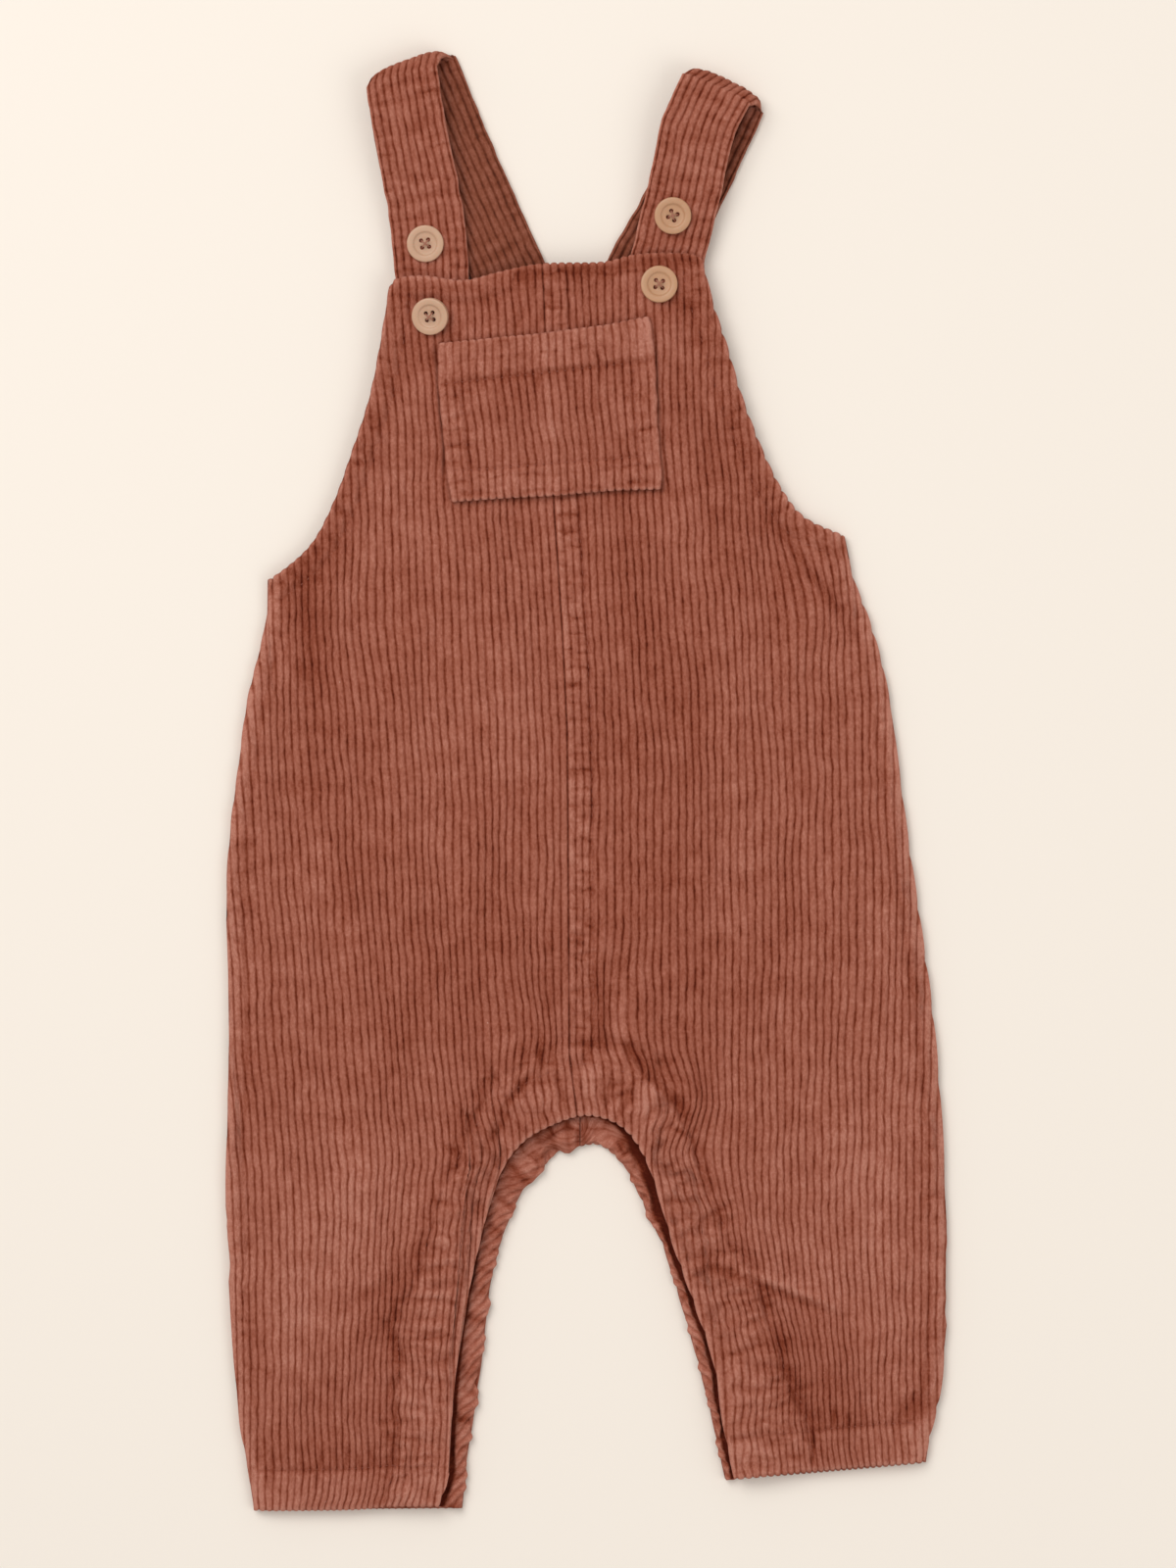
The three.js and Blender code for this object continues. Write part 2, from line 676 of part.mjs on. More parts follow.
// The bib pocket, made from the front's points under it, moved out
const POCKET_ROWS = [0, 0.05, 0.2, 0.42, 0.64, 0.84, 0.93, 1];
function pocketPatch() {
  const columns = POCKET.wales * 2;
  const place = (across, up) => {
    const bottom = {
      x: mix(POCKET.bottomLeft.x, POCKET.bottomRight.x, across),
      y: mix(POCKET.bottomLeft.y, POCKET.bottomRight.y, across),
    };
    const top = {
      x: mix(POCKET.topLeft.x, POCKET.topRight.x, across),
      y: mix(POCKET.topLeft.y, POCKET.topRight.y, across),
    };
    return { x: mix(bottom.x, top.x, up), y: mix(bottom.y, top.y, up) };
  };
  const height = POCKET.topLeft.y - POCKET.bottomLeft.y;
  const width = POCKET.topRight.x - POCKET.topLeft.x;
  const base = (x, y) => {
    const front = frontHeights(x, y);
    return front.valley + front.rise + SEAM_GAP + 0.15;
  };
  const grid = (surface) =>
    Array.from({ length: columns + 1 }, (_, i) =>
      POCKET_ROWS.map((up) => {
        const { x, y } = place(i / columns, up);
        const toSide = Math.min(i, columns - i) * (width / columns);
        const toEnd = Math.min(up, 1 - up) * height;
        return { x, y, z: base(x, y) + surface({ up, toSide, toEnd, crown: i % 2 === 1 }) };
      }),
    );
  const wall = ({ up, toSide, toEnd, crown }) => {
    const hem = smooth(1 - (POCKET.hem + 1) / height, 1 - (POCKET.hem - 1) / height, up);
    const turned = Math.max(1 - smooth(POCKET.turn - 2, POCKET.turn, toSide), hem);
    const round = 1 - smooth(0, EDGE_ROUND, Math.min(toSide, toEnd));
    return CLOTH * 0.75 + 0.4 * turned - 0.5 * round + (crown ? WALE_RISE : 0);
  };
  const kept = innerColumns(columns + 1);
  const inner = grid(() => 0).filter((_, i) => kept.includes(i));
  return clothWall(grid(wall), inner, kept);
}

// The middle line of a strap as sections: straight runs from the table and the fold between them
function strapSections({ front, foldTop, foldUnder, foldTurn, back }) {
  const FOLD_STEPS = 6;
  const away = new THREE.Vector2(Math.sin(radians(foldTurn)), -Math.cos(radians(foldTurn)));
  const fold = Array.from({ length: FOLD_STEPS + 1 }, (_, k) => {
    const share = k / FOLD_STEPS;
    const angle = Math.PI * share;
    const out = STRAP_FOLD_RADIUS * Math.sin(angle);
    const ends = [foldTop.turn, foldUnder.turn];
    return {
      x: mix(foldTop.x, foldUnder.x, share) - away.x * out,
      y: mix(foldTop.y, foldUnder.y, share) - away.y * out,
      z: STRAP_FLOOR + STRAP_FOLD_RADIUS * (1 + Math.cos(angle)),
      turn: share < 0.5 ? mix(ends[0], foldTurn, share * 2) : mix(foldTurn, ends[1], share * 2 - 1),
      tip: angle,
    };
  });
  const rows = [...front.map((row) => ({ ...row, tip: 0 })), ...fold, ...back.map((row) => ({ ...row, tip: Math.PI }))];
  return rows.map((row, i) => {
    const before = rows[Math.max(i - 1, 0)];
    const after = rows[Math.min(i + 1, rows.length - 1)];
    const heading = new THREE.Vector3(after.x - before.x, after.y - before.y, after.z - before.z).normalize();
    const across = new THREE.Vector3(Math.cos(radians(row.turn)), Math.sin(radians(row.turn)), 0);
    const outward = new THREE.Vector3().crossVectors(across, heading).normalize();
    return { middle: new THREE.Vector3(row.x, row.y, row.z), across, outward };
  });
}

// A strap is a tube of two layers pressed flat, with wales on both faces
function strapBand(which) {
  const sections = strapSections(STRAPS[which]);
  const steps = STRAP_WALES * 2;
  const faceWidth = STRAP_WIDTH - 1.4;
  const ring = [];
  for (const face of [1, -1])
    for (let k = 0; k <= steps; k++) {
      const share = face > 0 ? k / steps : 1 - k / steps;
      const crown = k % 2 === 1;
      const lift = STRAP_THICKNESS / 2 - (crown ? 0 : STRAP_RELIEF);
      ring.push({ across: (share - 0.5) * faceWidth, out: face * lift });
      if (k === steps) ring.push({ across: (face * STRAP_WIDTH) / 2, out: 0 });
    }
  const faces = new Faces();
  const rings = sections.map(({ middle, across, outward }) =>
    ring.map((r) => {
      const p = middle.clone().addScaledVector(across, r.across).addScaledVector(outward, r.out);
      return faces.point(p.x, p.y, p.z);
    }),
  );
  for (let i = 0; i + 1 < rings.length; i++)
    for (let j = 0; j < ring.length; j++) {
      const k = (j + 1) % ring.length;
      faces.quad(rings[i][j], rings[i][k], rings[i + 1][k], rings[i + 1][j]);
    }
  const shape = ring.map((r) => new THREE.Vector2(r.across, r.out));
  for (const [a, b, c] of THREE.ShapeUtils.triangulateShape([...shape].reverse(), [])) {
    const n = ring.length - 1;
    faces.triangle(rings[0][n - a], rings[0][n - b], rings[0][n - c]);
    const last = rings[rings.length - 1];
    faces.triangle(last[n - a], last[n - c], last[n - b]);
  }
  return faces.geometry();
}

// The height of a strap's upper face at a place along its front run
function strapTop(which, y) {
  const rows = [...STRAPS[which].front].sort((a, b) => b.y - a.y);
  return column(rows, "z", y) + STRAP_THICKNESS / 2;
}

// The lowest height at which a tilted button clears what it lies on
function buttonSeat(at, side) {
  let seat = 0;
  for (let angle = 0; angle < 360; angle += 15)
    for (const [radius, lift] of [[2, 0], [BUTTON_DIAMETER / 2 - 1.6, 0], [BUTTON_DIAMETER / 2, 0.8]]) {
      const dx = radius * Math.cos(radians(angle));
      const dy = radius * Math.sin(radians(angle));
      const front = frontHeights(at.x + dx, at.y + dy);
      const under = at.on === "bib" ? front.valley + front.rise : strapTop(side, at.y + dy);
      const tilted = lift + dy * Math.sin(radians(at.tiltX)) - dx * Math.sin(radians(at.tiltY));
      seat = Math.max(seat, under - tilted);
    }
  return seat;
}

function solidFrom(geometry) {
  const bare = geometry.index ? geometry.toNonIndexed() : geometry.clone();
  bare.deleteAttribute("normal");
  bare.deleteAttribute("uv");
  const merged = mergeVertices(bare, 1e-4);
  return new wasm.Manifold(
    new wasm.Mesh({
      numProp: 3,
      vertProperties: new Float32Array(merged.attributes.position.array),
      triVerts: new Uint32Array(merged.index.array),
    }),
  );
}

function geometryFrom(solid) {
  const mesh = solid.getMesh();
  const made = new THREE.BufferGeometry();
  made.setAttribute("position", new THREE.BufferAttribute(new Float32Array(mesh.vertProperties), 3));
  made.setIndex(new THREE.BufferAttribute(new Uint32Array(mesh.triVerts), 1));
  return made;
}

// A four-hole button with a raised rim, its underside at z = 0
function buttonGeometry() {
  const R = BUTTON_DIAMETER / 2;
  const T = BUTTON_THICKNESS;
  const profile = [
    [0, 0],
    [R - 1.6, 0],
    [R - 0.3, 0.8],
    [R, 1.5],
    [R - 0.5, T - 0.25],
    [R - 1.3, T],
    [R - 2.3, T - 0.2],
    [R - 3.1, T - 0.8],
    [0, T - 0.9],
  ].map(([x, y]) => new THREE.Vector2(x, y));
  let solid = solidFrom(new THREE.LatheGeometry(profile, 18).rotateX(Math.PI / 2));
  for (const dx of [-0.5, 0.5])
    for (const dy of [-0.5, 0.5]) {
      const hole = new THREE.CylinderGeometry(BUTTON_HOLE_DIAMETER / 2, BUTTON_HOLE_DIAMETER / 2, 3 * T, 6);
      hole.rotateX(Math.PI / 2).translate(dx * BUTTON_HOLE_SPACING, dy * BUTTON_HOLE_SPACING, 0);
      solid = solid.subtract(solidFrom(hole));
    }
  return geometryFrom(solid);
}

const overalls = new THREE.Group();
const finish = (color) => new THREE.MeshStandardMaterial({ color, roughness: 0.9, metalness: 0 });
function add(name, geometry, material) {
  const mesh = new THREE.Mesh(geometry, material);
  mesh.name = name;
  overalls.add(mesh);
  return mesh;
}

const frontCloth = finish(COLOURS.front);
const backCloth = finish(COLOURS.back);
const trimCloth = finish(COLOURS.trim);
const strapCloth = finish(COLOURS.strap);
const buttonFinish = new THREE.MeshStandardMaterial({ color: COLOURS.button, roughness: 0.45 });

add("front_left", frontHalf(-1), frontCloth);
add("front_right", frontHalf(1), frontCloth);
add("back_left", backHalf(-1), backCloth);
add("back_right", backHalf(1), backCloth);
add("pocket", pocketPatch(), frontCloth);
add("placket_left", placketStrip(-1), trimCloth);
add("placket_right", placketStrip(1), trimCloth);
add("strap_left", strapBand("left"), strapCloth);
add("strap_right", strapBand("right"), strapCloth);

const button = buttonGeometry();
for (const [name, at] of Object.entries(BUTTONS)) {
  const side = at.x < 0 ? "left" : "right";
  const mesh = add(name, button.clone(), buttonFinish);
  mesh.position.set(at.x, at.y, buttonSeat(at, side) + SEAM_GAP);
  mesh.rotation.set(radians(at.tiltX), radians(at.tiltY), 0);
}

export default overalls;
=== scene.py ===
# %% [markdown]
# # Baby's bib overalls in corduroy, laid flat
#
# The real garment is sewn from eight-wale cotton corduroy: a front and a back, each in two
# halves, a pocket, two shoulder straps, and facings inside the legs. It lies on its back, so
# the front lies on the back and the bib lies on the ends of the straps.
#
# Cloth with ribs this large is best made as real geometry. Each piece is a sheet of points
# whose columns follow the wales, so every rib is a true ridge that catches the light and that
# still shows in an exported mesh. Colour, pile and fading come from one node material.

import math

import bpy
import numpy as np
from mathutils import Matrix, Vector
from mathutils.bvhtree import BVHTree


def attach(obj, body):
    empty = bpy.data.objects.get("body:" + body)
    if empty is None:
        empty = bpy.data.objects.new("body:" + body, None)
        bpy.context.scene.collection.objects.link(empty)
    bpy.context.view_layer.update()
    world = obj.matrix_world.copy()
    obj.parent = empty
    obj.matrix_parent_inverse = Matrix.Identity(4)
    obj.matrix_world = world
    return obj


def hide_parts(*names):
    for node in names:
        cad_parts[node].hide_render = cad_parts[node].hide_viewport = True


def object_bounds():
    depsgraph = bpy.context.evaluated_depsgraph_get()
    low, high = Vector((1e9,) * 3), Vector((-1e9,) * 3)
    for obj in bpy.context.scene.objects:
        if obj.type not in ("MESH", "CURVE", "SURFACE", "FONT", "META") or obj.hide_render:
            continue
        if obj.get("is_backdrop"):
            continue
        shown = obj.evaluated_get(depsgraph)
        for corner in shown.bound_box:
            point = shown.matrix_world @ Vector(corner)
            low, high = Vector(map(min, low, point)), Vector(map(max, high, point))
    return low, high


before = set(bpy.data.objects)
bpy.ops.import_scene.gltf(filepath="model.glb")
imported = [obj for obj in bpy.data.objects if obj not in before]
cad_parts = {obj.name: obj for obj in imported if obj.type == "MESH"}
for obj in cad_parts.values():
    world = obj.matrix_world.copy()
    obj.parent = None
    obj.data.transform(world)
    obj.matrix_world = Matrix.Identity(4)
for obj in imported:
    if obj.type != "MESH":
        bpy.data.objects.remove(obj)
CAD_BOX = [list(corner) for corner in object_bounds()]
print("the solids' box in metres:", CAD_BOX)

# %% [markdown]
# ## Measures
#
# A maker works from the cloth. Eight wales to the inch is a common medium corduroy, and its
# ribs, the buttons and the outline fix every other size. All measures are in millimetres, and
# are turned to metres once, when a mesh is made.

# %% The cloth and how it lies
MM = 0.001
PITCH = 25.4 / 8
WALE_RISE = 0.9
CLOTH = 1.4
TURNED = 0.9
SEAM_GAP = 0.3
SEAM_SHOWS = 0.04
BACK_TOP = 2.0
BODY_LIES_AT = 3.4
BIB_LIES_AT = 5.9
BIB_EDGE_LIES_AT = 7.2
PLACKET_TOP = 4.7
LEG_LIES_AT = PLACKET_TOP + 0.7
SIDE_LIES_AT = BACK_TOP + SEAM_GAP
SIDE_RIM_WALL = 0.6
SIDE_ROLL = 11
HEM_DEPTH = 16.5
EDGE_TURN = 9
print("wale pitch in mm:", PITCH)

# %% The outline, as x and y from corner to corner
SIDE_LEFT = [
    (-135.8, -298.5), (-138.2, -282), (-141.8, -262), (-143.8, -240), (-145.6, -214),
    (-147.4, -182), (-146.8, -142), (-145.8, -104), (-147.2, -54), (-145.6, -22),
    (-141.8, 8), (-138.6, 32), (-133.2, 54), (-130.2, 70), (-130.8, 81),
]
ARMHOLE_LEFT = [
    (-130.8, 81), (-122.6, 86.4), (-111.6, 97), (-102.8, 114), (-95.6, 134),
    (-88.4, 156), (-83.6, 180), (-80.4, 200.4),
]
BIB_TOP = [
    (-80.4, 200.4), (-77, 204.2), (-66, 205.2), (-50, 203.4), (-35, 207), (-18, 210.2),
    (6, 210.8), (19, 213.8), (33, 214.6), (44, 213.8), (47.6, 211),
]
ARMHOLE_RIGHT = [
    (47.6, 211), (51.6, 194), (57.2, 177), (63.8, 155), (72.4, 133), (80.6, 117),
    (89.6, 106.6), (105.2, 99.6),
]
SIDE_RIGHT = [
    (105.2, 99.6), (109.2, 82), (116.6, 62), (122.8, 38), (127.2, 8), (131.4, -24),
    (137, -62), (142.2, -102), (145.6, -146), (147.4, -192), (147, -226),
    (144.6, -250), (141, -266), (138.4, -277),
]
HEM_RIGHT = [(138.4, -277), (136, -278.8), (113, -280.4), (94, -282.2), (60.4, -285.4)]
INNER_EDGE = [
    (60.4, -285.4), (56, -265.2), (51.8, -238), (43.6, -213), (35, -189), (29.4, -170),
    (23.2, -153), (13.8, -141.2), (0, -137), (-14, -140.8), (-27.2, -149),
    (-36.6, -164), (-44.4, -192), (-51.6, -228), (-55.2, -262), (-56.4, -284),
    (-60.4, -296.4),
]
HEM_LEFT = [(-60.4, -296.4), (-80, -296.6), (-96, -298), (-135.8, -298.5)]
BACK_ARMHOLE_LEFT = [
    (-130.8, 81), (-118, 86.4), (-104, 97), (-92, 112), (-80, 131), (-64, 152), (-44, 176),
]
BACK_ARMHOLE_RIGHT = [
    (30, 176), (52, 147), (66, 128), (78, 113.6), (88, 105.6), (105.2, 99.6),
]
BACK_INNER_LEFT = [
    (-2.6, -149.8), (-9.6, -150.4), (-20, -160.6), (-27.4, -170), (-35.2, -189),
    (-39.4, -206), (-42.6, -234), (-46.6, -262), (-49.6, -282), (-51, -297.8),
]
BACK_INNER_RIGHT = [
    (-2.6, -149.8), (6, -149.6), (16, -158.6), (23.4, -174), (30.8, -189.4),
    (36.2, -206), (43.4, -230), (50.2, -256), (54.6, -276), (57, -286.4),
]
BACK_HEM_LEFT = [(-51, -297.8), (-96, -298.2), (-135.8, -298.5)]
BACK_HEM_RIGHT = [(138.4, -277), (137.2, -279.4), (57, -286.4)]


# %% [markdown]
# ## Small mathematics for cloth
#
# `trace` bends a smooth line through a table, as a maker's curve ruler would. `nearest` says
# how far a point lies from such a line and how far along it, which places everything that
# follows an edge: hems, facings, stitching and the puckers that stitching pulls in. `wander`
# is smooth noise, for what no machine makes even.

# %% Lines, distances and noise
def trace(rows, steps=6):
    p = np.array(rows, float)
    slope = (np.vstack([p[1:], p[-1:]]) - np.vstack([p[:1], p[:-1]])) / 2
    t = np.linspace(0, 1, steps, endpoint=False)[:, None]
    bends = [
        (2 * a - 2 * b + m + n) * t**3 + (3 * b - 3 * a - 2 * m - n) * t**2 + m * t + a
        for a, b, m, n in zip(p[:-1], p[1:], slope[:-1], slope[1:])
    ]
    return np.vstack([*bends, p[-1:]])


def nearest(line, x, y):
    """How far each point is from a line, and how far along it the nearest place is."""
    best = np.full(np.shape(x), 1e9)
    along = np.zeros(np.shape(x))
    start = 0.0
    for a, b in zip(line[:-1], line[1:]):
        dx, dy = b - a
        length = math.hypot(dx, dy)
        t = np.clip(((x - a[0]) * dx + (y - a[1]) * dy) / max(length**2, 1e-9), 0, 1)
        d = np.hypot(x - a[0] - t * dx, y - a[1] - t * dy)
        closer = d < best
        best = np.where(closer, d, best)
        along = np.where(closer, start + t * length, along)
        start += length
    return best, along


def step(low, high, value):
    t = np.clip((value - low) / (high - low), 0, 1)
    return t * t * (3 - 2 * t)


def mix(a, b, share):
    return a + (b - a) * share


def wander(x, y, size_x, size_y, seed):
    """Smooth noise from -1 to 1 with cells of the given size."""
    dots = np.random.default_rng(seed).uniform(-1, 1, (64, 64))
    gx, gy = np.asarray(x) / size_x, np.asarray(y) / size_y
    ix, iy = np.floor(gx).astype(int), np.floor(gy).astype(int)
    fx, fy = step(0, 1, gx - ix), step(0, 1, gy - iy)
    corner = lambda a, b: dots[(ix + a) % 64, (iy + b) % 64]
    return mix(mix(corner(0, 0), corner(1, 0), fx), mix(corner(0, 1), corner(1, 1), fx), fy)


EDGES = {
    "side_left": trace(SIDE_LEFT),
    "armhole_left": trace(ARMHOLE_LEFT),
    "bib_top": trace(BIB_TOP),
    "armhole_right": trace(ARMHOLE_RIGHT),
    "side_right": trace(SIDE_RIGHT),
    "hem_right": trace(HEM_RIGHT),
    "inner": trace(INNER_EDGE),
    "hem_left": trace(HEM_LEFT),
}
FRONT_OUTLINE = np.vstack(list(EDGES.values()))
BACK_OUTLINE = np.vstack([
    EDGES["side_left"], trace(BACK_ARMHOLE_LEFT), trace(BACK_ARMHOLE_RIGHT),
    EDGES["side_right"], trace(BACK_HEM_RIGHT), trace(BACK_INNER_RIGHT)[::-1],
    trace(BACK_INNER_LEFT), trace(BACK_HEM_LEFT),
])


def area_of(outline):
    x, y = outline.T
    return abs(np.sum(x * np.roll(y, -1) - y * np.roll(x, -1))) / 2


print("front and back in square metres:", [round(area_of(o) * MM**2, 4) for o in (FRONT_OUTLINE, BACK_OUTLINE)])


# %% [markdown]
# ## The grain
#
# The wales run along each piece, but cloth that has been washed and laid down by hand never
# lies quite square. Here a few named tables say how far the wales stray at each height, and
# some soft pushes show where fullness at the crotch shoves them aside.

# %% How the wales run
CENTRE_SEAM = [
    (-300, -2.6), (-140, -3.4), (-112, -7), (-30, -7.5), (20, -7.9), (61, -9.9),
    (110, -13.2), (182, -16.8), (216, -18.3),
]
# height, stray on the left, stray on the right
GRAIN = [
    (-300, 15.2, -2.4), (-220, 14.2, -1.4), (-160, 11.6, -1.2), (-100, 7.3, -0.2),
    (-60, 4.2, 0.6), (0, 0, 0), (60, -3, -2.2), (100, -4.2, -5.6), (140, -6.6, -8.6),
    (180, -10, -9.6), (216, -12.8, -10.8),
]
GRAIN_REACH = 90
LEG_START, LEG_SHARE, LEG_REACH = -158, 0.44, 50
# where, how far it reaches each way, and how far it shoves the wales to the right
PUSHES = [
    (34, -130, 15, 15, 5.5),
    (18, -118, 9, 10, 2.6),
    (12, -94, 6, 17, -1.7),
    (-24, -104, 12, 17, 2.4),
    (-7, -106, 4, 14, -1.0),
    (47, -150, 10, 12, -2.2),
    (-26, -126, 12, 13, -3.0),
    (-44, -152, 10, 14, 1.6),
    (-36, -176, 8, 10, -1.6),
    (-52, -206, 11, 13, 1.2),
    (-72, -228, 13, 16, -1.0),
    (-60, -262, 12, 15, 0.9),
    (52, -186, 10, 12, 1.5),
    (62, -208, 10, 10, -1.3),
    (82, -240, 13, 16, 1.5),
    (74, -264, 12, 13, -1.0),
    (86, 104, 9, 14, -2.6),
    (92, 68, 10, 18, 2.8),
    (-96, 62, 22, 40, -2.2),
    (-124, 62, 10, 30, 1.4),
    (-74, 150, 12, 16, 0.9),
    (58, 160, 12, 20, -0.8),
]


def at_height(rows, y, column=1):
    table = np.array(rows, float)
    return np.interp(y, table[:, 0], table[:, column])


def inner_at(y, left):
    rows = sorted((b, a) for a, b in (INNER_EDGE[8:] if left else INNER_EDGE[:9]))
    return at_height(rows, y)


def wale_x(u, y):
    """Where the wale that crosses y = 0 at u lies at the height y."""
    seam = at_height(CENTRE_SEAM, 0)
    left = u < seam
    share = np.minimum(np.abs(u - seam) / GRAIN_REACH, 1)
    stray = np.where(left, at_height(GRAIN, y), at_height(GRAIN, y, 2))
    x = u + mix(at_height(CENTRE_SEAM, y) - seam, stray, share)
    for here in (True, False):
        now, start = inner_at(y, here), inner_at(LEG_START, here)
        lean = (now - start) * LEG_SHARE * np.exp(-(((x - now) / LEG_REACH) ** 2))
        x = x + np.where((left == here) & (y < LEG_START), lean, 0)
    for px, py, reach_x, reach_y, shove in PUSHES:
        same = np.where(left, px < seam, px > seam) * step(0, 8, np.abs(u - seam))
        x = x + shove * same * np.exp(-(((x - px) / reach_x) ** 2) - ((y - py) / reach_y) ** 2)
    return x


def inside(outline, x, y):
    hit = np.zeros(np.shape(x), bool)
    for a, b in zip(outline, np.roll(outline, -1, 0)):
        if a[1] != b[1]:
            crosses = (a[1] > y) != (b[1] > y)
            hit ^= crosses & (x < (b[0] - a[0]) * (y - a[1]) / (b[1] - a[1]) + a[0])
    return hit


def wale_spans(outline, u):
    """The lowest and highest point of each wale inside an outline."""
    grid_u, grid_y = np.meshgrid(u, np.arange(-302, 218, 2.0), indexing="ij")
    hit = inside(outline, wale_x(grid_u, grid_y), grid_y)
    low, high = np.zeros(len(u)), np.zeros(len(u))
    for i, line in enumerate(hit):
        edges = np.flatnonzero(np.diff(np.concatenate([[0], line.astype(int), [0]])))
        runs = edges.reshape(-1, 2)
        if len(runs):
            first, last = max(runs, key=lambda run: run[1] - run[0])
            low[i], high[i] = grid_y[i, first], grid_y[i, last - 1]
    for end, away in ((low, -2.0), (high, 2.0)):
        outer, inner = end + away, end.copy()
        for _ in range(12):
            middle = (outer + inner) / 2
            ok = inside(outline, wale_x(u, middle), middle)
            inner, outer = np.where(ok, middle, inner), np.where(ok, outer, middle)
        end[:] = inner
    return low, high


# %% [markdown]
# ## A wall of cloth
#
# A sheet of cloth has two faces and a rim. `shell` takes a fine grid of points for the face
# with the ribs and a sparser one for its plain inside, closes the rim between them and gives
# every point its place on the cloth as a UV: across in wales, and along in the same unit. The
# material reads that, so a rib's colour sits exactly on its ridge.

# %% Make a mesh from two grids
def new_piece(name, points, faces, uv, marks):
    mesh = bpy.data.meshes.new(name)
    mesh.from_pydata((np.asarray(points) * MM).tolist(), [], faces)
    layer = mesh.uv_layers.new(name="grain")
    corner = np.empty(len(mesh.loops), np.int32)
    mesh.loops.foreach_get("vertex_index", corner)
    layer.data.foreach_set("uv", np.asarray(uv, np.float32)[corner].ravel())
    for mark, values in marks.items():
        held = mesh.attributes.new(mark, "FLOAT", "POINT")
        held.data.foreach_set("value", np.asarray(values, np.float32).ravel())
    mesh.shade_smooth()
    mesh.validate()
    piece = bpy.data.objects.new(name, mesh)
    bpy.context.scene.collection.objects.link(piece)
    print(name, "triangles:", sum(len(p.vertices) - 2 for p in mesh.polygons))
    return piece


def grid_faces(first, columns, rows, flip):
    i, j = np.meshgrid(np.arange(columns - 1), np.arange(rows - 1), indexing="ij")
    a = first + i * rows + j
    quads = np.stack([a, a + rows, a + rows + 1, a + 1], -1).reshape(-1, 4)
    return (quads[:, ::-1] if flip else quads).tolist()


def shell(name, outer, inner, kept, uv, marks, upside_down=False):
    """outer is [column][row][xyz], and inner holds only the kept columns of it."""
    columns, rows = outer.shape[:2]
    few = len(kept)
    base = columns * rows
    flip = upside_down
    faces = grid_faces(0, columns, rows, flip) + grid_faces(base, few, rows, not flip)
    rim = []
    top = lambda i, j: i * rows + j
    under = lambda k, j: base + k * rows + j
    for j in range(rows - 1):
        rim.append([under(0, j), top(0, j), top(0, j + 1), under(0, j + 1)])
        rim.append([under(few - 1, j), under(few - 1, j + 1), top(columns - 1, j + 1), top(columns - 1, j)])
    last = rows - 1
    for k in range(few - 1):
        for i in range(kept[k], kept[k + 1]):
            rim.append([under(k, 0), top(i + 1, 0), top(i, 0)])
            rim.append([under(k, last), top(i, last), top(i + 1, last)])
        rim.append([under(k, 0), under(k + 1, 0), top(kept[k + 1], 0)])
        rim.append([under(k, last), top(kept[k + 1], last), under(k + 1, last)])
    faces += [face[::-1] for face in rim] if flip else rim
    points = np.vstack([outer.reshape(-1, 3), inner.reshape(-1, 3)])
    both = lambda grid: np.concatenate([grid.reshape(columns * rows, -1), grid[kept].reshape(few * rows, -1)])
    return new_piece(name, points, faces, both(uv), {k: both(v) for k, v in marks.items()})


def rib(u):
    """Height of the pile from 0 in a groove to 1 on a crown, u in wales from a groove."""
    from_crown = np.abs(u - np.floor(u) - 0.5) * 2
    return 1 - from_crown**2.9


# %% [markdown]
# ## How the front lies
#
# The front rests on the back, rises over the facings inside the legs and over the straps
# behind the bib, and rolls down to the side seams. On that lie the soft folds, and then what
# sewing does: each row of stitching sinks into the pile, and because thread shrinks and feeds
# unevenly it pulls short tucks in across its seam.

# %% Folds and puckers
# x, y, how it lies in degrees, half its length, half its width, its height
FOLDS = [
    (-113, 56, 100, 38, 6, -0.9),
    (97, 74, 125, 30, 6, -0.9),
    (-136, -96, 90, 70, 3.5, -0.8),
    (-78, -46, 172, 46, 6, 0.5),
    (60, -30, 95, 60, 9, 0.5),
    (24, 60, 92, 34, 5, -0.6),
    (-22, -112, 205, 16, 6, 0.9),
    (26, -110, 150, 18, 6, 0.9),
    (38, -132, 115, 18, 5, 0.9),
    (-104, -190, 80, 44, 24, 0.8),
    (100, -188, 95, 46, 24, 0.8),
    (72, -207, 166, 30, 4.5, 0.9),
    (84, -250, 128, 22, 3.5, -0.9),
    (-78, -222, 58, 24, 4, -0.7),
]
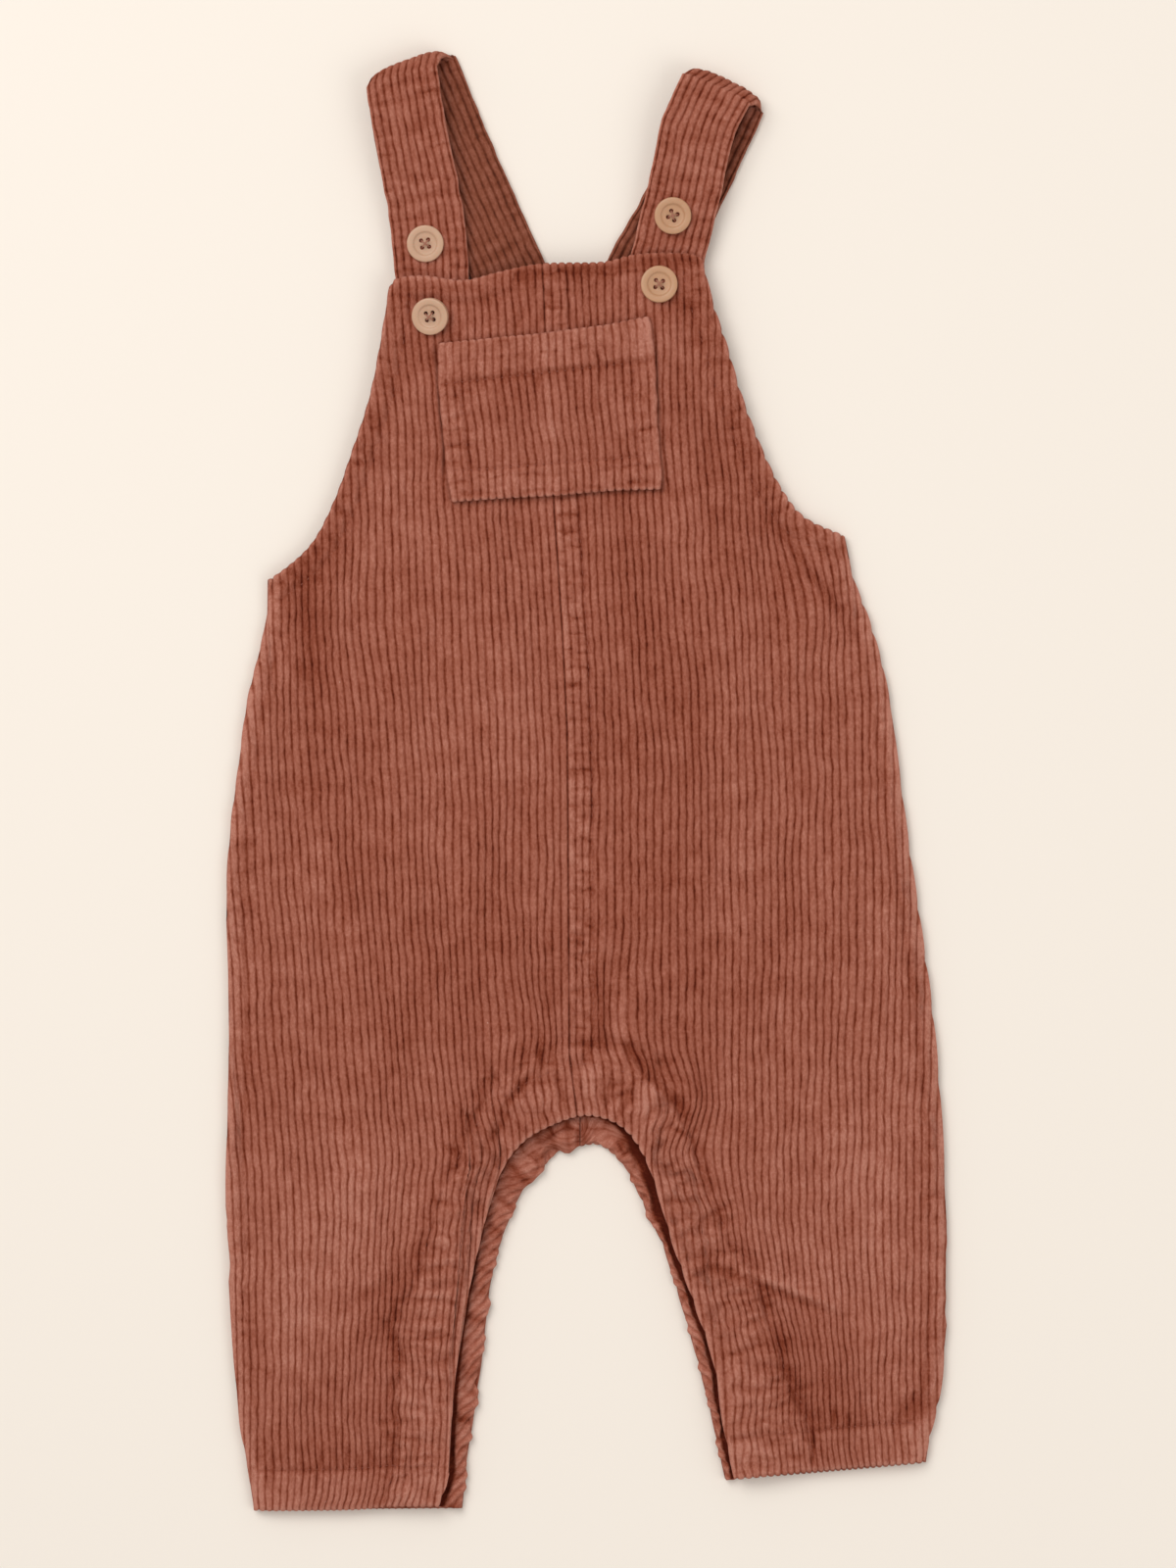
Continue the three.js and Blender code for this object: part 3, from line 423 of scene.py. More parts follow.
# creases that are too narrow for the solids: the same columns
CREASES = [
    (82, -207, 158, 20, 1.5, 1.5),
    (81, -210.5, 158, 20, 1.5, -0.9),
    (92.4, -274, 90, 9, 0.9, -1.2),
    (55, -200, 160, 8, 2.0, -1.1),
    (-86, -208, 30, 16, 3.2, -0.5),
    (-27.6, -126.4, 50, 8, 1.5, -1.5),
    (-36, -142, 56, 8, 1.6, -0.9),
    (-18.6, -111, 92, 9, 1.5, -0.9),
    (-13.4, -112, 90, 7, 1.2, -0.7),
    (-0.6, -107.8, 2, 6, 1.2, -0.6),
    (-26, 190, 62, 8, 1.3, -0.9),
    (-17, 193, 78, 8, 1.2, -0.7),
    (12, -124.6, 8, 4, 1.0, -0.9),
    (12, -129.4, 22, 6, 1.2, -1.2),
    (6, -94, 95, 15, 2.0, -0.7),
    (21, -115.4, 130, 8, 1.8, -1.2),
    (32, -127, 138, 10, 1.8, -1.4),
    (46, -124, 98, 12, 2.5, -0.6),
    (38, -143.5, 153, 5, 1.2, -1.0),
    (-20, -131, 80, 8, 3.0, 0.7),
    (0, -121, 85, 8, 3.0, 0.6),
    (24, -133, 70, 8, 3.0, 0.8),
    (-66, 186, 60, 14, 4, -0.5),
    (-58, 176, 40, 9, 2.5, -0.6),
    (40, 190, 118, 14, 5, -0.4),
    (136, -252, 60, 10, 3, -0.3),
    (91, 85, 126, 26, 1.8, -1.2),
    (95, 90, 125, 18, 3, 0.5),
    (-114, 62, 97, 26, 3.4, -0.8),
    (-118, -2, 176, 20, 5, -0.25),
    (-66, -36, 170, 30, 3, -0.2),
    (16, 96, 88, 20, 2.5, -0.35),
    (44, 30, 86, 40, 3, -0.3),
]


# where the pile is rubbed pale, and painted shade where it is darker along folds, creases and in broad bands: the same
# columns, with a tone
WEAR_AND_PAINTED_SHADE = [
    (-104, -196, 60, 44, 36, 0.6),
    (-104, -158, 0, 30, 24, 0.12),
    (108, -180, 90, 56, 36, 0.55),
    (-20, 200, 4, 40, 12, -0.2),
    (100, -262, 90, 22, 40, 0.2),
    (122, -70, 94, 70, 14, 0.2),
    (-70, -262, 100, 26, 14, 0.25),
    (-30, 20, 80, 26, 14, 0.15),
    (25, -6, 90, 92, 15, -0.6),
    (-112, 40, 100, 42, 14, -0.4),
    (-40, -76, 80, 30, 30, -0.3),
    (14, -99, 85, 11, 2.6, 0.6),
    (-9.5, -105, 90, 12, 2.6, 0.5),
    (7, -90, 92, 17, 1.8, -0.6),
    (-17, -98, 84, 20, 2, -0.5),
    (25, -116, 130, 12, 2, -0.4),
    (92, -238, 100, 25, 12, -0.7),
    (-76, -205, 62, 34, 7, -0.5),
    (62, 112, 110, 50, 12, -0.35),
    (46, -92, 80, 30, 14, -0.3),
    (-134, -10, 95, 60, 7, 0.3),
    (84, -244, 130, 26, 10, -0.25),
    (-113, 62, 97, 27, 6, -0.9),
    (-126, 60, 100, 26, 4, 0.5),
    (112, -272, 5, 18, 8, -0.3),
    (-88, -60, 100, 60, 9, -0.2),
]


def wear_and_painted_shade_at(x, y):
    return sum(fold_height([row], x, y) for row in WEAR_AND_PAINTED_SHADE)


def fold_height(folds, x, y):
    height = np.zeros(np.shape(x))
    for fx, fy, turn, length, width, tall in folds:
        c, s = math.cos(math.radians(turn)), math.sin(math.radians(turn))
        along = ((x - fx) * c + (y - fy) * s) / length
        across = (-(x - fx) * s + (y - fy) * c) / width
        height = height + tall * np.exp(-(across**2) - along**4)
    return height


def tucks(along, across, spacing, width, reach, middle, seed):
    """Short puckers over a seam, uneven in place, depth and length: 0, or up to 1 in one."""
    warped = along / spacing + 0.45 * wander(along, 0 * along, spacing * 2.3, 9, seed)
    which = np.floor(warped).astype(int)
    draw = np.random.default_rng(seed + 1).uniform(0, 1, (256, 4))[which % 256]
    centre = middle + (draw[..., 0] - 0.5) * reach
    half = reach * (0.35 + 0.9 * draw[..., 1])
    slant = (draw[..., 3] - 0.5) * 0.5 * (across - centre) / spacing
    off = (warped - which - 0.5 + slant) * spacing / width
    return (0.25 + 0.75 * draw[..., 2]) * np.exp(-(off**2) - ((across - centre) / half) ** 4)


POCKET = {
    "top_left": (-61.6, 176.9), "top_right": (26.3, 187.9),
    "foot_right": (31.8, 119), "foot_left": (-56, 112.8),
}
POCKET_LINE = np.array([*POCKET.values(), POCKET["top_left"]])

# %% The front's heights
# height, width of the facing on the left leg, and on the right
FACING = [
    (-300, 22, 33), (-262, 22, 34), (-246, 23, 28), (-222, 26, 26), (-200, 21, 25),
    (-184, 21, 21), (-160, 18, 19), (-140, 20, 20), (-124, 25, 25), (-108, 28, 28),
]


def facing_width(x, y):
    return np.where(x < -2, at_height(FACING, y), at_height(FACING, y, 2))


def front_form(x, y):
    """The plain form that the solids share: the inside, and the wall up to the valleys."""
    d, s = {}, {}
    for edge, line in EDGES.items():
        d[edge], s[edge] = nearest(line, x, y)
    side = np.minimum(d["side_left"], d["side_right"])
    hem = np.minimum(d["hem_left"], d["hem_right"])
    top = np.minimum(np.minimum(d["armhole_left"], d["armhole_right"]), d["bib_top"])
    leg = d["inner"]
    inner = mix(BODY_LIES_AT, BIB_LIES_AT, step(112, 168, y))
    inner = mix(inner, BIB_EDGE_LIES_AT, step(164, 186, y))
    inner = mix(inner, LEG_LIES_AT, 1 - step(8, 34, leg))
    inner = inner + fold_height(FOLDS, x, y) * step(2, 9, np.minimum(np.minimum(side, leg), hem))
    roll = np.sqrt(1 - (1 - np.minimum(side / SIDE_ROLL, 1)) ** 2)
    inner = mix(SIDE_LIES_AT, inner, roll)
    turned = np.maximum(
        np.maximum(1 - step(-2, 0.5, leg - facing_width(x, y)), 1 - step(HEM_DEPTH - 2, HEM_DEPTH, hem)),
        1 - step(EDGE_TURN - 3, EDGE_TURN, top),
    )
    wall = CLOTH + TURNED * turned * step(2, 7, side)
    wall = mix(SIDE_RIM_WALL, wall, step(0, 4, side))
    return {"inner": inner, "wall": wall, "side": side, "hem": hem, "top": top, "leg": leg, "s": s}


def front_surface(u, x, y):
    """The outside with its ribs and puckers, and the marks that its material reads."""
    f = front_form(x, y)
    s, leg, hem, top, side = f["s"], f["leg"], f["hem"], f["top"], f["side"]
    edge = np.minimum(np.minimum(hem, leg), top)
    from_seam = x - at_height(CENTRE_SEAM, y)
    hem_along = np.where(x < 0, s["hem_left"], s["hem_right"])
    top_along = np.where(x < -30, s["armhole_left"], s["armhole_right"])
    side_along = np.where(x < 0, s["side_left"], s["side_right"])

    # the facing round the legs: its line of stitching, what it gathers, and the puffs between
    teeth = 1.3 * wander(s["inner"], 0 * x, 9, 9, 29) + 1.1 * wander(s["inner"], 0 * x, 4.2, 9, 30)
    into = facing_width(x, y) - leg + teeth
    in_facing = step(-1.5, 1.5, into)
    gathers = np.maximum.reduce([
        tucks(s["inner"], into, 5.0, 0.95, 9, 3, 11),
        0.9 * tucks(s["inner"], into, 6.6, 1.05, 12, 11, 23),
        0.75 * tucks(s["inner"], into, 8.6, 1.2, 9, 18, 27),
    ])
    round_arch = step(-136, -118, y)
    broken = np.clip(0.4 + 0.9 * wander(s["inner"], 0 * x, 4.5, 9, 33), 0, 1)
    line = np.exp(-((into / 0.9) ** 2)) * broken * (1 - 0.7 * round_arch)
    # a painted shade just outside the facing's line, where the puffed facing shades the body; the cloth also dips there
    shade = np.exp(-(((into + 2.2) / 2.4) ** 2)) * np.clip(0.7 + 0.8 * wander(s["inner"], 0 * x, 8, 9, 35), 0, 1)
    shade = shade * (1 - 0.6 * round_arch)
    puff = np.exp(-(((into - 5) / 5) ** 2)) * (0.5 + 0.5 * wander(s["inner"], into, 7, 12, 31))
    ruffled = step(-9, -1, into) * step(0, 4, leg)
    heap = 0.75 * wander(x, y, 7.5, 5.5, 39) + 0.5 * wander(x, y, 3.8, 3.2, 45)
    body_puff = np.exp(-(((into + 7) / 4) ** 2)) * (0.4 + 0.6 * wander(s["inner"], 0 * x, 9, 9, 37))

    # the hem, the turned armholes, the side seams and the band beside the centre seam
    hem_line = np.exp(-(((hem - HEM_DEPTH) / 0.9) ** 2)) * step(3, 7, side)
    hem_tucks = tucks(hem_along, hem - HEM_DEPTH, 6.5, 1.4, 7, 2.5, 41)
    turn_line = np.exp(-(((top - EDGE_TURN) / 0.9) ** 2)) * (y < 198)
    turn_tucks = tucks(top_along, top, 6.4, 1.5, 8, 4.5, 53) * (top < 14)
    side_tucks = tucks(side_along, side, 6.2, 1.5, 6, 4.5, 57) * (side < 11)
    side_groove = np.exp(-(((side - 7) / 1.2) ** 2)) * (0.75 + 0.3 * wander(side_along, 0 * x, 40, 9, 59)) * (y < 60)
    seam = np.exp(-((from_seam / 0.75) ** 2)) * (0.6 + 0.4 * wander(y, 0 * x, 7, 9, 63))
    at_waist = step(-92, -62, y)
    fades = np.clip(0.35 + 1.1 * wander(y, 0 * x, 26, 9, 64), 0, 1) * (1 - at_waist)
    seam_fades = np.exp(-((from_seam / 1.6) ** 2)) * fades
    seam_ridge = np.exp(-(((from_seam - 1.1) / 0.7) ** 2))
    band = step(0, 1.5, from_seam) * (1 - step(9, 11, from_seam))
    band_line = np.exp(-(((from_seam - 10) / 0.9) ** 2))
    band_tucks = tucks(y, from_seam, 5.4, 1.45, 7, 4.5, 61)
    seam_shows = step(-108, -100, y)

    # round the pocket the front dips, and is painted darker there: painted shadow of the pocket's raised edge
    from_pocket, pocket_along = nearest(POCKET_LINE, x, y)
    around = np.exp(-((from_pocket / 1.7) ** 2)) * (0.65 + 0.35 * wander(pocket_along, 0 * x, 6, 9, 65))

    # the puckers and stitched lines sink in, and the darkness they give the colour is painted shade
    pucker_and_painted_shade = np.maximum.reduce([
        0.6 * around,
        gathers * step(-16, -9, into) * step(0, 1.5, leg),
        0.8 * line,
        0.85 * hem_tucks,
        0.7 * hem_line,
        0.35 * turn_line,
        0.9 * turn_tucks,
        0.55 * side_tucks,
        0.55 * side_groove,
        0.4 * seam * step(-138, -132, y) * (y < 176),
        ((0.5 + 0.3 * at_waist) * band_tucks + 0.5 * band_line) * (from_seam > 0) * (from_seam < 13) * seam_shows,
    ])
    creased = fold_height(CREASES, x, y) * step(1, 6, np.minimum(side, np.minimum(leg, hem)))
    ripple = 0.12 * wander(x, y, 9, 3.2, 67) + 0.08 * wander(x, y, 6, 2.1, 69)
    lumps = 0.2 * wander(x, y, 7, 11, 71) + 0.3 * wander(x, y, 21, 33, 73) + ripple
    hem_zone = 1 - step(HEM_DEPTH - 2, HEM_DEPTH, hem)
    flat = np.clip(
        0.06 * in_facing + 0.15 * hem_zone + 0.3 * line + 0.2 * (1 - step(2, 9, top)) + 0.15 * pucker_and_painted_shade
        + 1.3 * seam_fades * seam_shows,
        0, 1.3,
    )
    rim = np.minimum(edge, side + 2)
    tone = wear_and_painted_shade_at(x, y)
    # paler along edges and side seams, on facings, hems and knees, and on crease ridges; painted light on the tops of
    # the lumps; painted shade in crease hollows and dark patches
    wear_and_painted_light = np.clip(
        0.12 + 0.45 * in_facing + 0.4 * hem_zone + 0.35 * band * seam_shows + 0.8 * (1 - step(0, 2.2, rim))
        + 0.3 * np.maximum(heap, 0) * ruffled + 0.05 * step(120, 170, y) + 1.1 * np.exp(-((side / 5.5) ** 2))
        + creased * 0.6 + tone + 0.5 * seam * (y > 176) + 0.5 * seam_ridge * (y > -90),
        0, 1.35,
    )
    # painted shade: in puckers and stitched lines, beside the facing's line, in the lumps' hollows, in crease hollows
    # and in the dark patches
    hollow = np.maximum(-heap, 0) * ruffled
    dark = 0.85 * pucker_and_painted_shade + 0.5 * shade * step(0, 3, leg) - 0.4 * np.minimum(creased, 0) + 0.15 * hollow
    dark = np.clip(dark - 0.35 * np.minimum(tone, 0), 0, 1)
    gathered = np.clip(
        0.6 * ruffled * step(0, 3, leg) + (0.6 + 0.7 * at_waist) * band * seam_shows + 0.4 * np.exp(-(((side - 5) / 3.5) ** 2))
        + 0.3 * np.exp(-(((hem - 12) / 6) ** 2)) + 0.7 * np.exp(-(((top - 6) / 4.5) ** 2)) + 0.3 * around,
        0, 1.5,
    )
    round_off = 1.25 * (1 - np.sqrt(1 - (1 - np.clip(edge / 1.9, 0, 1)) ** 2)) * step(0, 5, side)
    rise = WALE_RISE * mix(0.4, 1, step(0, 3, side)) * (1 - 0.45 * np.minimum(flat, 0.8))
    rise = rise * (1 + 0.25 * wander(u, y, 2.5, 12, 83))
    inland = step(0, 8, np.minimum(side, edge))
    z = f["inner"] + f["wall"] - round_off + creased + lumps * inland
    z = z - 1.25 * pucker_and_painted_shade * step(0, 2.5, edge) * step(0, 4, side) - 0.9 * shade * inland
    z = z + 0.5 * step(-0.6, 0.8, into) * (1 - step(4, 12, into)) * inland
    z = z + (0.7 * puff * in_facing + 0.5 * body_puff + 0.7 * heap * ruffled) * step(0, 5, leg) * inland
    z = z + rise * rib(u) + 0.45 * np.exp(-((from_seam / 0.8) ** 2)) * seam_shows
    return f["inner"], np.maximum(z, f["inner"] + 0.35), {"wear_and_painted_light": wear_and_painted_light, "flat": flat, "pucker_and_painted_shade": dark, "ruffle": gathered}


# %% [markdown]
# ## The front's two halves
#
# Each half is one cut piece from the shoulder to the hem, seamed down the middle. The columns
# of its grid are set across the wales, six to a wale, and the rows are close together where
# the edges turn over. The ends of the wales stick out a little past the valleys between them,
# which gives the cut edges their scalloped line.

# %% Lay out the columns and rows of a half
PER_WALE = 6
HEM_ROWS = [0, 0.3, 0.8, 1.5, 2.5, 4, 6, 8.2, 10.5, 12.6, 14.2, 15.4, 16.5, 17.6, 19]
TOP_ROWS = [12, 10.4, 9, 7.8, 6.4, 4.8, 3.4, 2.2, 1.3, 0.6, 0.2, 0]
FULL_WALE = 90
LEG_ENDS_AT = -96
SCALLOP = 0.7


def half_grid(outline, sign, per_wale, leg_rows, body_rows):
    centre = at_height(CENTRE_SEAM, 0)
    k = np.arange(0, 56 * per_wale)
    u = centre + sign * (SEAM_SHOWS / 2 + k * PITCH / per_wale)
    low, high = wale_spans(outline, u)
    keep = np.cumprod(high - low > 12).astype(bool)
    u, low, high, k = u[keep], low[keep], high[keep], k[keep]
    if sign < 0:
        u, low, high, k = u[::-1], low[::-1], high[::-1], k[::-1]
    wale = sign * k / per_wale
    proud = SCALLOP * (rib(wale) - 0.6)
    slopes = [np.clip(np.gradient(end, wale_x(u, end)), -4, 4) for end in (low, high)]
    lean = [proud / np.hypot(slope, 1) for slope in slopes]
    low, high = low - lean[0], high + lean[1]
    scale = np.minimum((high - low) / FULL_WALE, 1)[:, None]
    hem = low[:, None] + np.array(HEM_ROWS) * scale
    top = high[:, None] - np.array(TOP_ROWS) * scale
    start, end = hem[:, -1:], top[:, :1]
    hip = np.clip(LEG_ENDS_AT, mix(start, end, 0.2), mix(start, end, 0.8))
    legs = mix(start, hip, np.arange(1, leg_rows) / leg_rows)
    body = mix(hip, end, np.arange(0, body_rows) / body_rows)
    y = np.hstack([hem, legs, body, top])
    wide = np.broadcast_to(u[:, None], y.shape)
    x = wale_x(wide, y)
    over_hem, under_top = y - low[:, None], high[:, None] - y
    x = x + (lean[0] * slopes[0])[:, None] * (1 - step(0, 3, over_hem))
    x = x - (lean[1] * slopes[1])[:, None] * (1 - step(0, 3, under_top))
    w = wale[:, None] + 0 * y
    from_leg = nearest(EDGES["inner"], x, y)[0]
    loose = np.exp(-(((from_leg - 11) / 13) ** 2))
    stray = (0.26 + 0.25 * loose) * wander(w, y, 1.7, 4.6, 91) + 0.45 * wander(w, y, 3.6, 15, 93)
    stray = stray + 0.9 * wander(x, y, 15, 36, 99) * step(0, 10, np.abs(w) * PITCH)
    stray = stray + 0.1 * wander(w, y, 1.1, 2.4, 95) + 0.8 * loose * wander(x, y, 8, 8, 97)
    inland = step(0, 6, np.minimum(over_hem, under_top)) * step(0, 2, np.abs(w)) * step(0.5, 5, from_leg)
    return w, x + stray * inland, y


def inner_columns(count, every):
    kept = list(range(0, count - every // 2, every))
    return kept + [count - 1]


def make_front(name, sign):
    wale, x, y = half_grid(FRONT_OUTLINE, sign, PER_WALE, 122, 128)
    inner, z, marks = front_surface(wale, x, y)
    kept = inner_columns(len(x), PER_WALE)
    outside = np.stack([x, y, z], -1)
    within = np.stack([x, y, inner], -1)[kept]
    uv = np.stack([wale, y / PITCH], -1)
    return shell(name, outside, within, kept, uv, marks)


front_left = make_front("front_left_cloth", -1)
front_right = make_front("front_right_cloth", 1)

# %% [markdown]
# ## The back's two halves
#
# Only the edges of the back show from above, but it is a full piece, ribbed on its outside
# like the front. It carries the garment, so its ribs lie flat on the table: they are pressed
# wide at the crowns, and only the valleys between them rise clear.

# %% Make the back
BACK_FACING = 22
BACK_EDGE = np.vstack([trace(BACK_INNER_LEFT)[::-1], trace(BACK_INNER_RIGHT)])


def make_back(name, sign):
    wale, x, y = half_grid(BACK_OUTLINE, sign, 6, 34, 56)
    hem_line = np.vstack([trace(BACK_HEM_LEFT), trace(BACK_HEM_RIGHT)])
    hem, along_hem = nearest(hem_line[: len(trace(BACK_HEM_LEFT))] if sign < 0 else trace(BACK_HEM_RIGHT), x, y)
    leg, along_leg = nearest(BACK_EDGE, x, y)
    side, _ = nearest(EDGES["side_left"] if sign < 0 else EDGES["side_right"], x, y)
    neck, along_neck = nearest(trace(BACK_ARMHOLE_LEFT if sign < 0 else BACK_ARMHOLE_RIGHT), x, y)
    from_seam = np.abs(x - at_height(CENTRE_SEAM, y))
    edge = np.minimum(np.minimum(hem, leg), np.minimum(neck, side))
    line = lambda away: np.exp(-((away / 1.0) ** 2))
    # its stitched lines and tucks sink in, and their darkness is painted shade
    pucker_and_painted_shade = np.maximum.reduce([
        0.6 * line(hem - HEM_DEPTH), 0.5 * line(neck - EDGE_TURN), 0.6 * line(leg - BACK_FACING),
        0.8 * line(from_seam) * (y > -148), 0.4 * line(from_seam - 10) * (y > -140),
        0.7 * tucks(along_hem, hem - HEM_DEPTH, 6.8, 1.5, 6, 2, 141) * (hem < 26),
        0.7 * tucks(along_leg, leg, 8.2, 1.6, 12, 12, 143) * (leg < 28),
        0.6 * tucks(along_neck, neck, 7.2, 1.6, 7, 4.5, 145) * (neck < 12),
    ])
    flat = np.clip(0.3 + 0.3 * (hem < HEM_DEPTH) + 0.2 * (leg < BACK_FACING), 0, 0.8)
    wear_and_painted_light = np.clip(0.25 + 0.4 * (1 - step(0, 2.5, edge)) + 0.3 * wander(x, y, 44, 60, 147), 0, 1)
    rise = 0.75 * (1 - 0.35 * flat)
    under = 0.03 + rise * (1 - rib(wale) ** 0.8) + 0.35 * pucker_and_painted_shade
    under = under + 0.12 * (1 + wander(x, y, 17, 23, 149)) * step(0, 10, edge)
    under = under + 0.9 * (1 - np.sqrt(1 - (1 - np.clip(edge / 1.8, 0, 1)) ** 2))
    near_hem = 1 - step(1.5, 4, hem)
    top = BACK_TOP - 0.5 * near_hem * (1 - rib(wale)) - 0.35 * (1 - step(0, 1.0, np.minimum(hem, leg)))
    uv = np.stack([wale, y / PITCH], -1)
    marks = {"wear_and_painted_light": wear_and_painted_light, "flat": flat * np.ones_like(x), "pucker_and_painted_shade": pucker_and_painted_shade, "ruffle": 0.3 + 0 * x}
    kept = inner_columns(len(x), 2)
    upper = np.stack([x, y, top], -1)[kept]
    return shell(name, np.stack([x, y, under], -1), upper, kept, uv, marks, True)


back_left = make_back("back_left_cloth", -1)
back_right = make_back("back_right_cloth", 1)

# %% [markdown]
# ## The facings inside the legs
#
# A strip cut on the bias is folded over the back's inner leg edge. Bias cloth stretches along
# its length, so once washed it rolls and twists like a slack rope, and its ribs run round it
# at a slant. It is made as a strip of sections along the edge, with a swelling that travels.

# %% Make the bias strips
PLACKET_WIDTH = 15
PLACKET_SECTIONS = 300
BIAS = 0.62  # how far the ribs advance along for each step across
TWIST_PITCH = 19
# along the strip, and how wide a shaded gap shows between it and the front's edge
SHADED_GAP = {
    "left": [(0, 0.6), (60, 0.6), (90, 1.6), (163, 2.6)],
    "right": [(0, 0.6), (9, 1.2), (20, 5), (44, 4.2), (70, 2.2), (153, 1.6)],
}
PLACKET_SHAPE = [(0, 0.3), (0.03, 1.2), (0.1, 2.1), (0.2, 2.6), (0.32, 2.45), (0.44, 1.5), (0.55, 0.8), (1, 0.7)]


def even_points(line, count):
    reach = np.concatenate([[0], np.cumsum(np.hypot(*np.diff(line, axis=0).T))])
    at = np.linspace(0, reach[-1], count)
    return np.stack([np.interp(at, reach, line[:, k]) for k in (0, 1)], -1), at


def make_placket(name, sign, rows, seed):
    points, along = even_points(trace(rows, 12), PLACKET_SECTIONS)
    heading = np.gradient(points, axis=0)
    heading /= np.linalg.norm(heading, axis=1)[:, None]
    into = np.stack([-heading[:, 1], heading[:, 0]], -1) * (-1 if sign < 0 else 1)
    ease = step(0, 16, along)[:, None]
    into = mix(np.array([[0.0, 1.0]]), into, ease)
    across = np.linspace(0, 1, 30) ** 1.5
    a, s = np.meshgrid(across, along)
    shape = np.array(PLACKET_SHAPE)
    tall = np.interp(a, shape[:, 0], shape[:, 1])
    twist = np.sin(2 * np.pi * s / TWIST_PITCH + 2.6 * a + seed + 1.6 * wander(s, a, 24, 2, seed))
    bunch = 1 - step(10, 38, s)
    cross = a * PLACKET_WIDTH
    crumple = (1 - np.abs(wander(s, cross, 5.5, 4.6, seed + 1))) ** 6 * bunch
    tall = tall * (1 - 0.28 * twist) + 1.2 * bunch * wander(s, cross, 5.5, 4.5, seed + 8) * step(0, 2, cross)
    flat_x = points[:, :1] + into[:, :1] * cross
    flat_y = points[:, 1:] + into[:, 1:] * cross
    away = nearest(EDGES["inner"], flat_x, flat_y)[0]
    away = np.where(inside(FRONT_OUTLINE, flat_x, flat_y), -away, away)
    gap_width = at_height(SHADED_GAP["left" if sign < 0 else "right"], s)
    shaded = 1 - step(0.55, 1.05, away / gap_width)
    tall = mix(tall * (1 - 0.75 * crumple), 0.4, shaded)
    drift = bunch * 4.5 * wander(s, cross, 7, 6, seed + 2) + 0.5 * wander(s, cross, 12, 9, seed + 6)
    wale = (s * BIAS - 0.8 * cross + drift) / PITCH
    tall = np.maximum(tall, 0.2)
    body = np.clip((tall - 0.3) / 1.2, 0, 1)
    hollow = (0.5 + 0.5 * np.cos(2 * np.pi * wale)) * (1 - 0.6 * bunch)
    z = BACK_TOP + SEAM_GAP + tall - (0.3 * (1 - rib(wale)) + 0.55 * hollow) * body
    crease = tucks(s, cross, 10.5, 1.4, 9, 5, seed + 3)
    crease = np.maximum(crease, tucks(s, cross, 4.6, 0.9, 8, 5, seed + 5) * bunch)
    z = np.maximum(z - 0.8 * crease * body, BACK_TOP + SEAM_GAP + 0.15)
    ragged = 0.6 * wander(s, 0 * s, 4.5, 9, seed + 4) + 2.8 * bunch * wander(s, 0 * s, 6.5, 9, seed + 7)
    wave = (0.8 * twist + ragged + 0.7 * (0.5 - hollow)) * (1 - step(0, 0.5, a))
    wave = wave * step(0, 5, s) * step(0, 5, along[-1] - s)
    reach = a * PLACKET_WIDTH - wave
    x = points[:, :1] + into[:, :1] * reach
    y = points[:, 1:] + into[:, 1:] * reach
    gap = sign * SEAM_GAP / 2
    x = np.where(s < 3, np.maximum(x, points[0, 0] + gap) if sign > 0 else np.minimum(x, points[0, 0] + gap), x)
    outer = np.stack([x, y, z], -1)
    inner = outer.copy()
    inner[..., 2] = BACK_TOP + SEAM_GAP
    kept = list(range(0, PLACKET_SECTIONS - 1, 2)) + [PLACKET_SECTIONS - 1]
    uv = np.stack([wale, s / PITCH], -1)
    marks = {
        # painted shade: deep in the gap beside the front's edge, and in the hollows between the strip's ribs
        "wear_and_painted_light": np.clip(0.4 + 0.3 * twist + 0.35 * (0.5 - hollow) + 0.3 * (a < 0.08) + 0.25 * bunch, 0, 1) * (1 - shaded),
        "flat": 0.1 + 0 * s,
        "pucker_and_painted_shade": np.clip(crease + 1.3 * crumple + 0.14 * hollow, 0, 1.3) * (1 - shaded) + 2.1 * shaded,
        "ruffle": 0.4 + 0 * s,
    }
    if sign < 0:
        outer, inner, uv = outer[:, ::-1], inner[:, ::-1], uv[:, ::-1]
        marks = {k: v[:, ::-1] for k, v in marks.items()}
    return shell(name, outer, inner[kept], kept, uv, marks)


placket_left = make_placket("placket_left_cloth", -1, BACK_INNER_LEFT, 201)
placket_right = make_placket("placket_right_cloth", 1, BACK_INNER_RIGHT, 217)

# %% [markdown]
# ## The bib pocket
#
# A patch of the same cloth, its wales set upright on a bib that leans, with a hem along its
# top, turned edges at its sides and foot, and a row of stitching round them. It is laid on the
# front's own crowns, a seam's gap above them, so it follows every fold of the bib.

# %% Make the pocket
POCKET_WALES = 27
POCKET_HEM, POCKET_TURN, POCKET_FOOT = 17, 9, 13
POCKET_TALL, POCKET_WIDE = 66.5, 88.0


def pocket_place(across, up):
    corner = {name: np.array(p) for name, p in POCKET.items()}
    a, b = np.asarray(across)[..., None], np.asarray(up)[..., None]
    foot = mix(corner["foot_left"], corner["foot_right"], a)
    top = mix(corner["top_left"], corner["top_right"], a)
    wavy = np.stack([wander(a[..., 0], b[..., 0] * 4, 0.25, 1, seed) for seed in (331, 333)], -1)
    square_on = (np.abs(a - 0.5) * 2) ** 8 * (np.abs(b - 0.5) * 2) ** 8
    inwards = (np.array([6, -32]) + np.array([-14, 148]) - foot) * 0.022 * square_on
    return mix(foot, top, b) + 0.7 * wavy + inwards


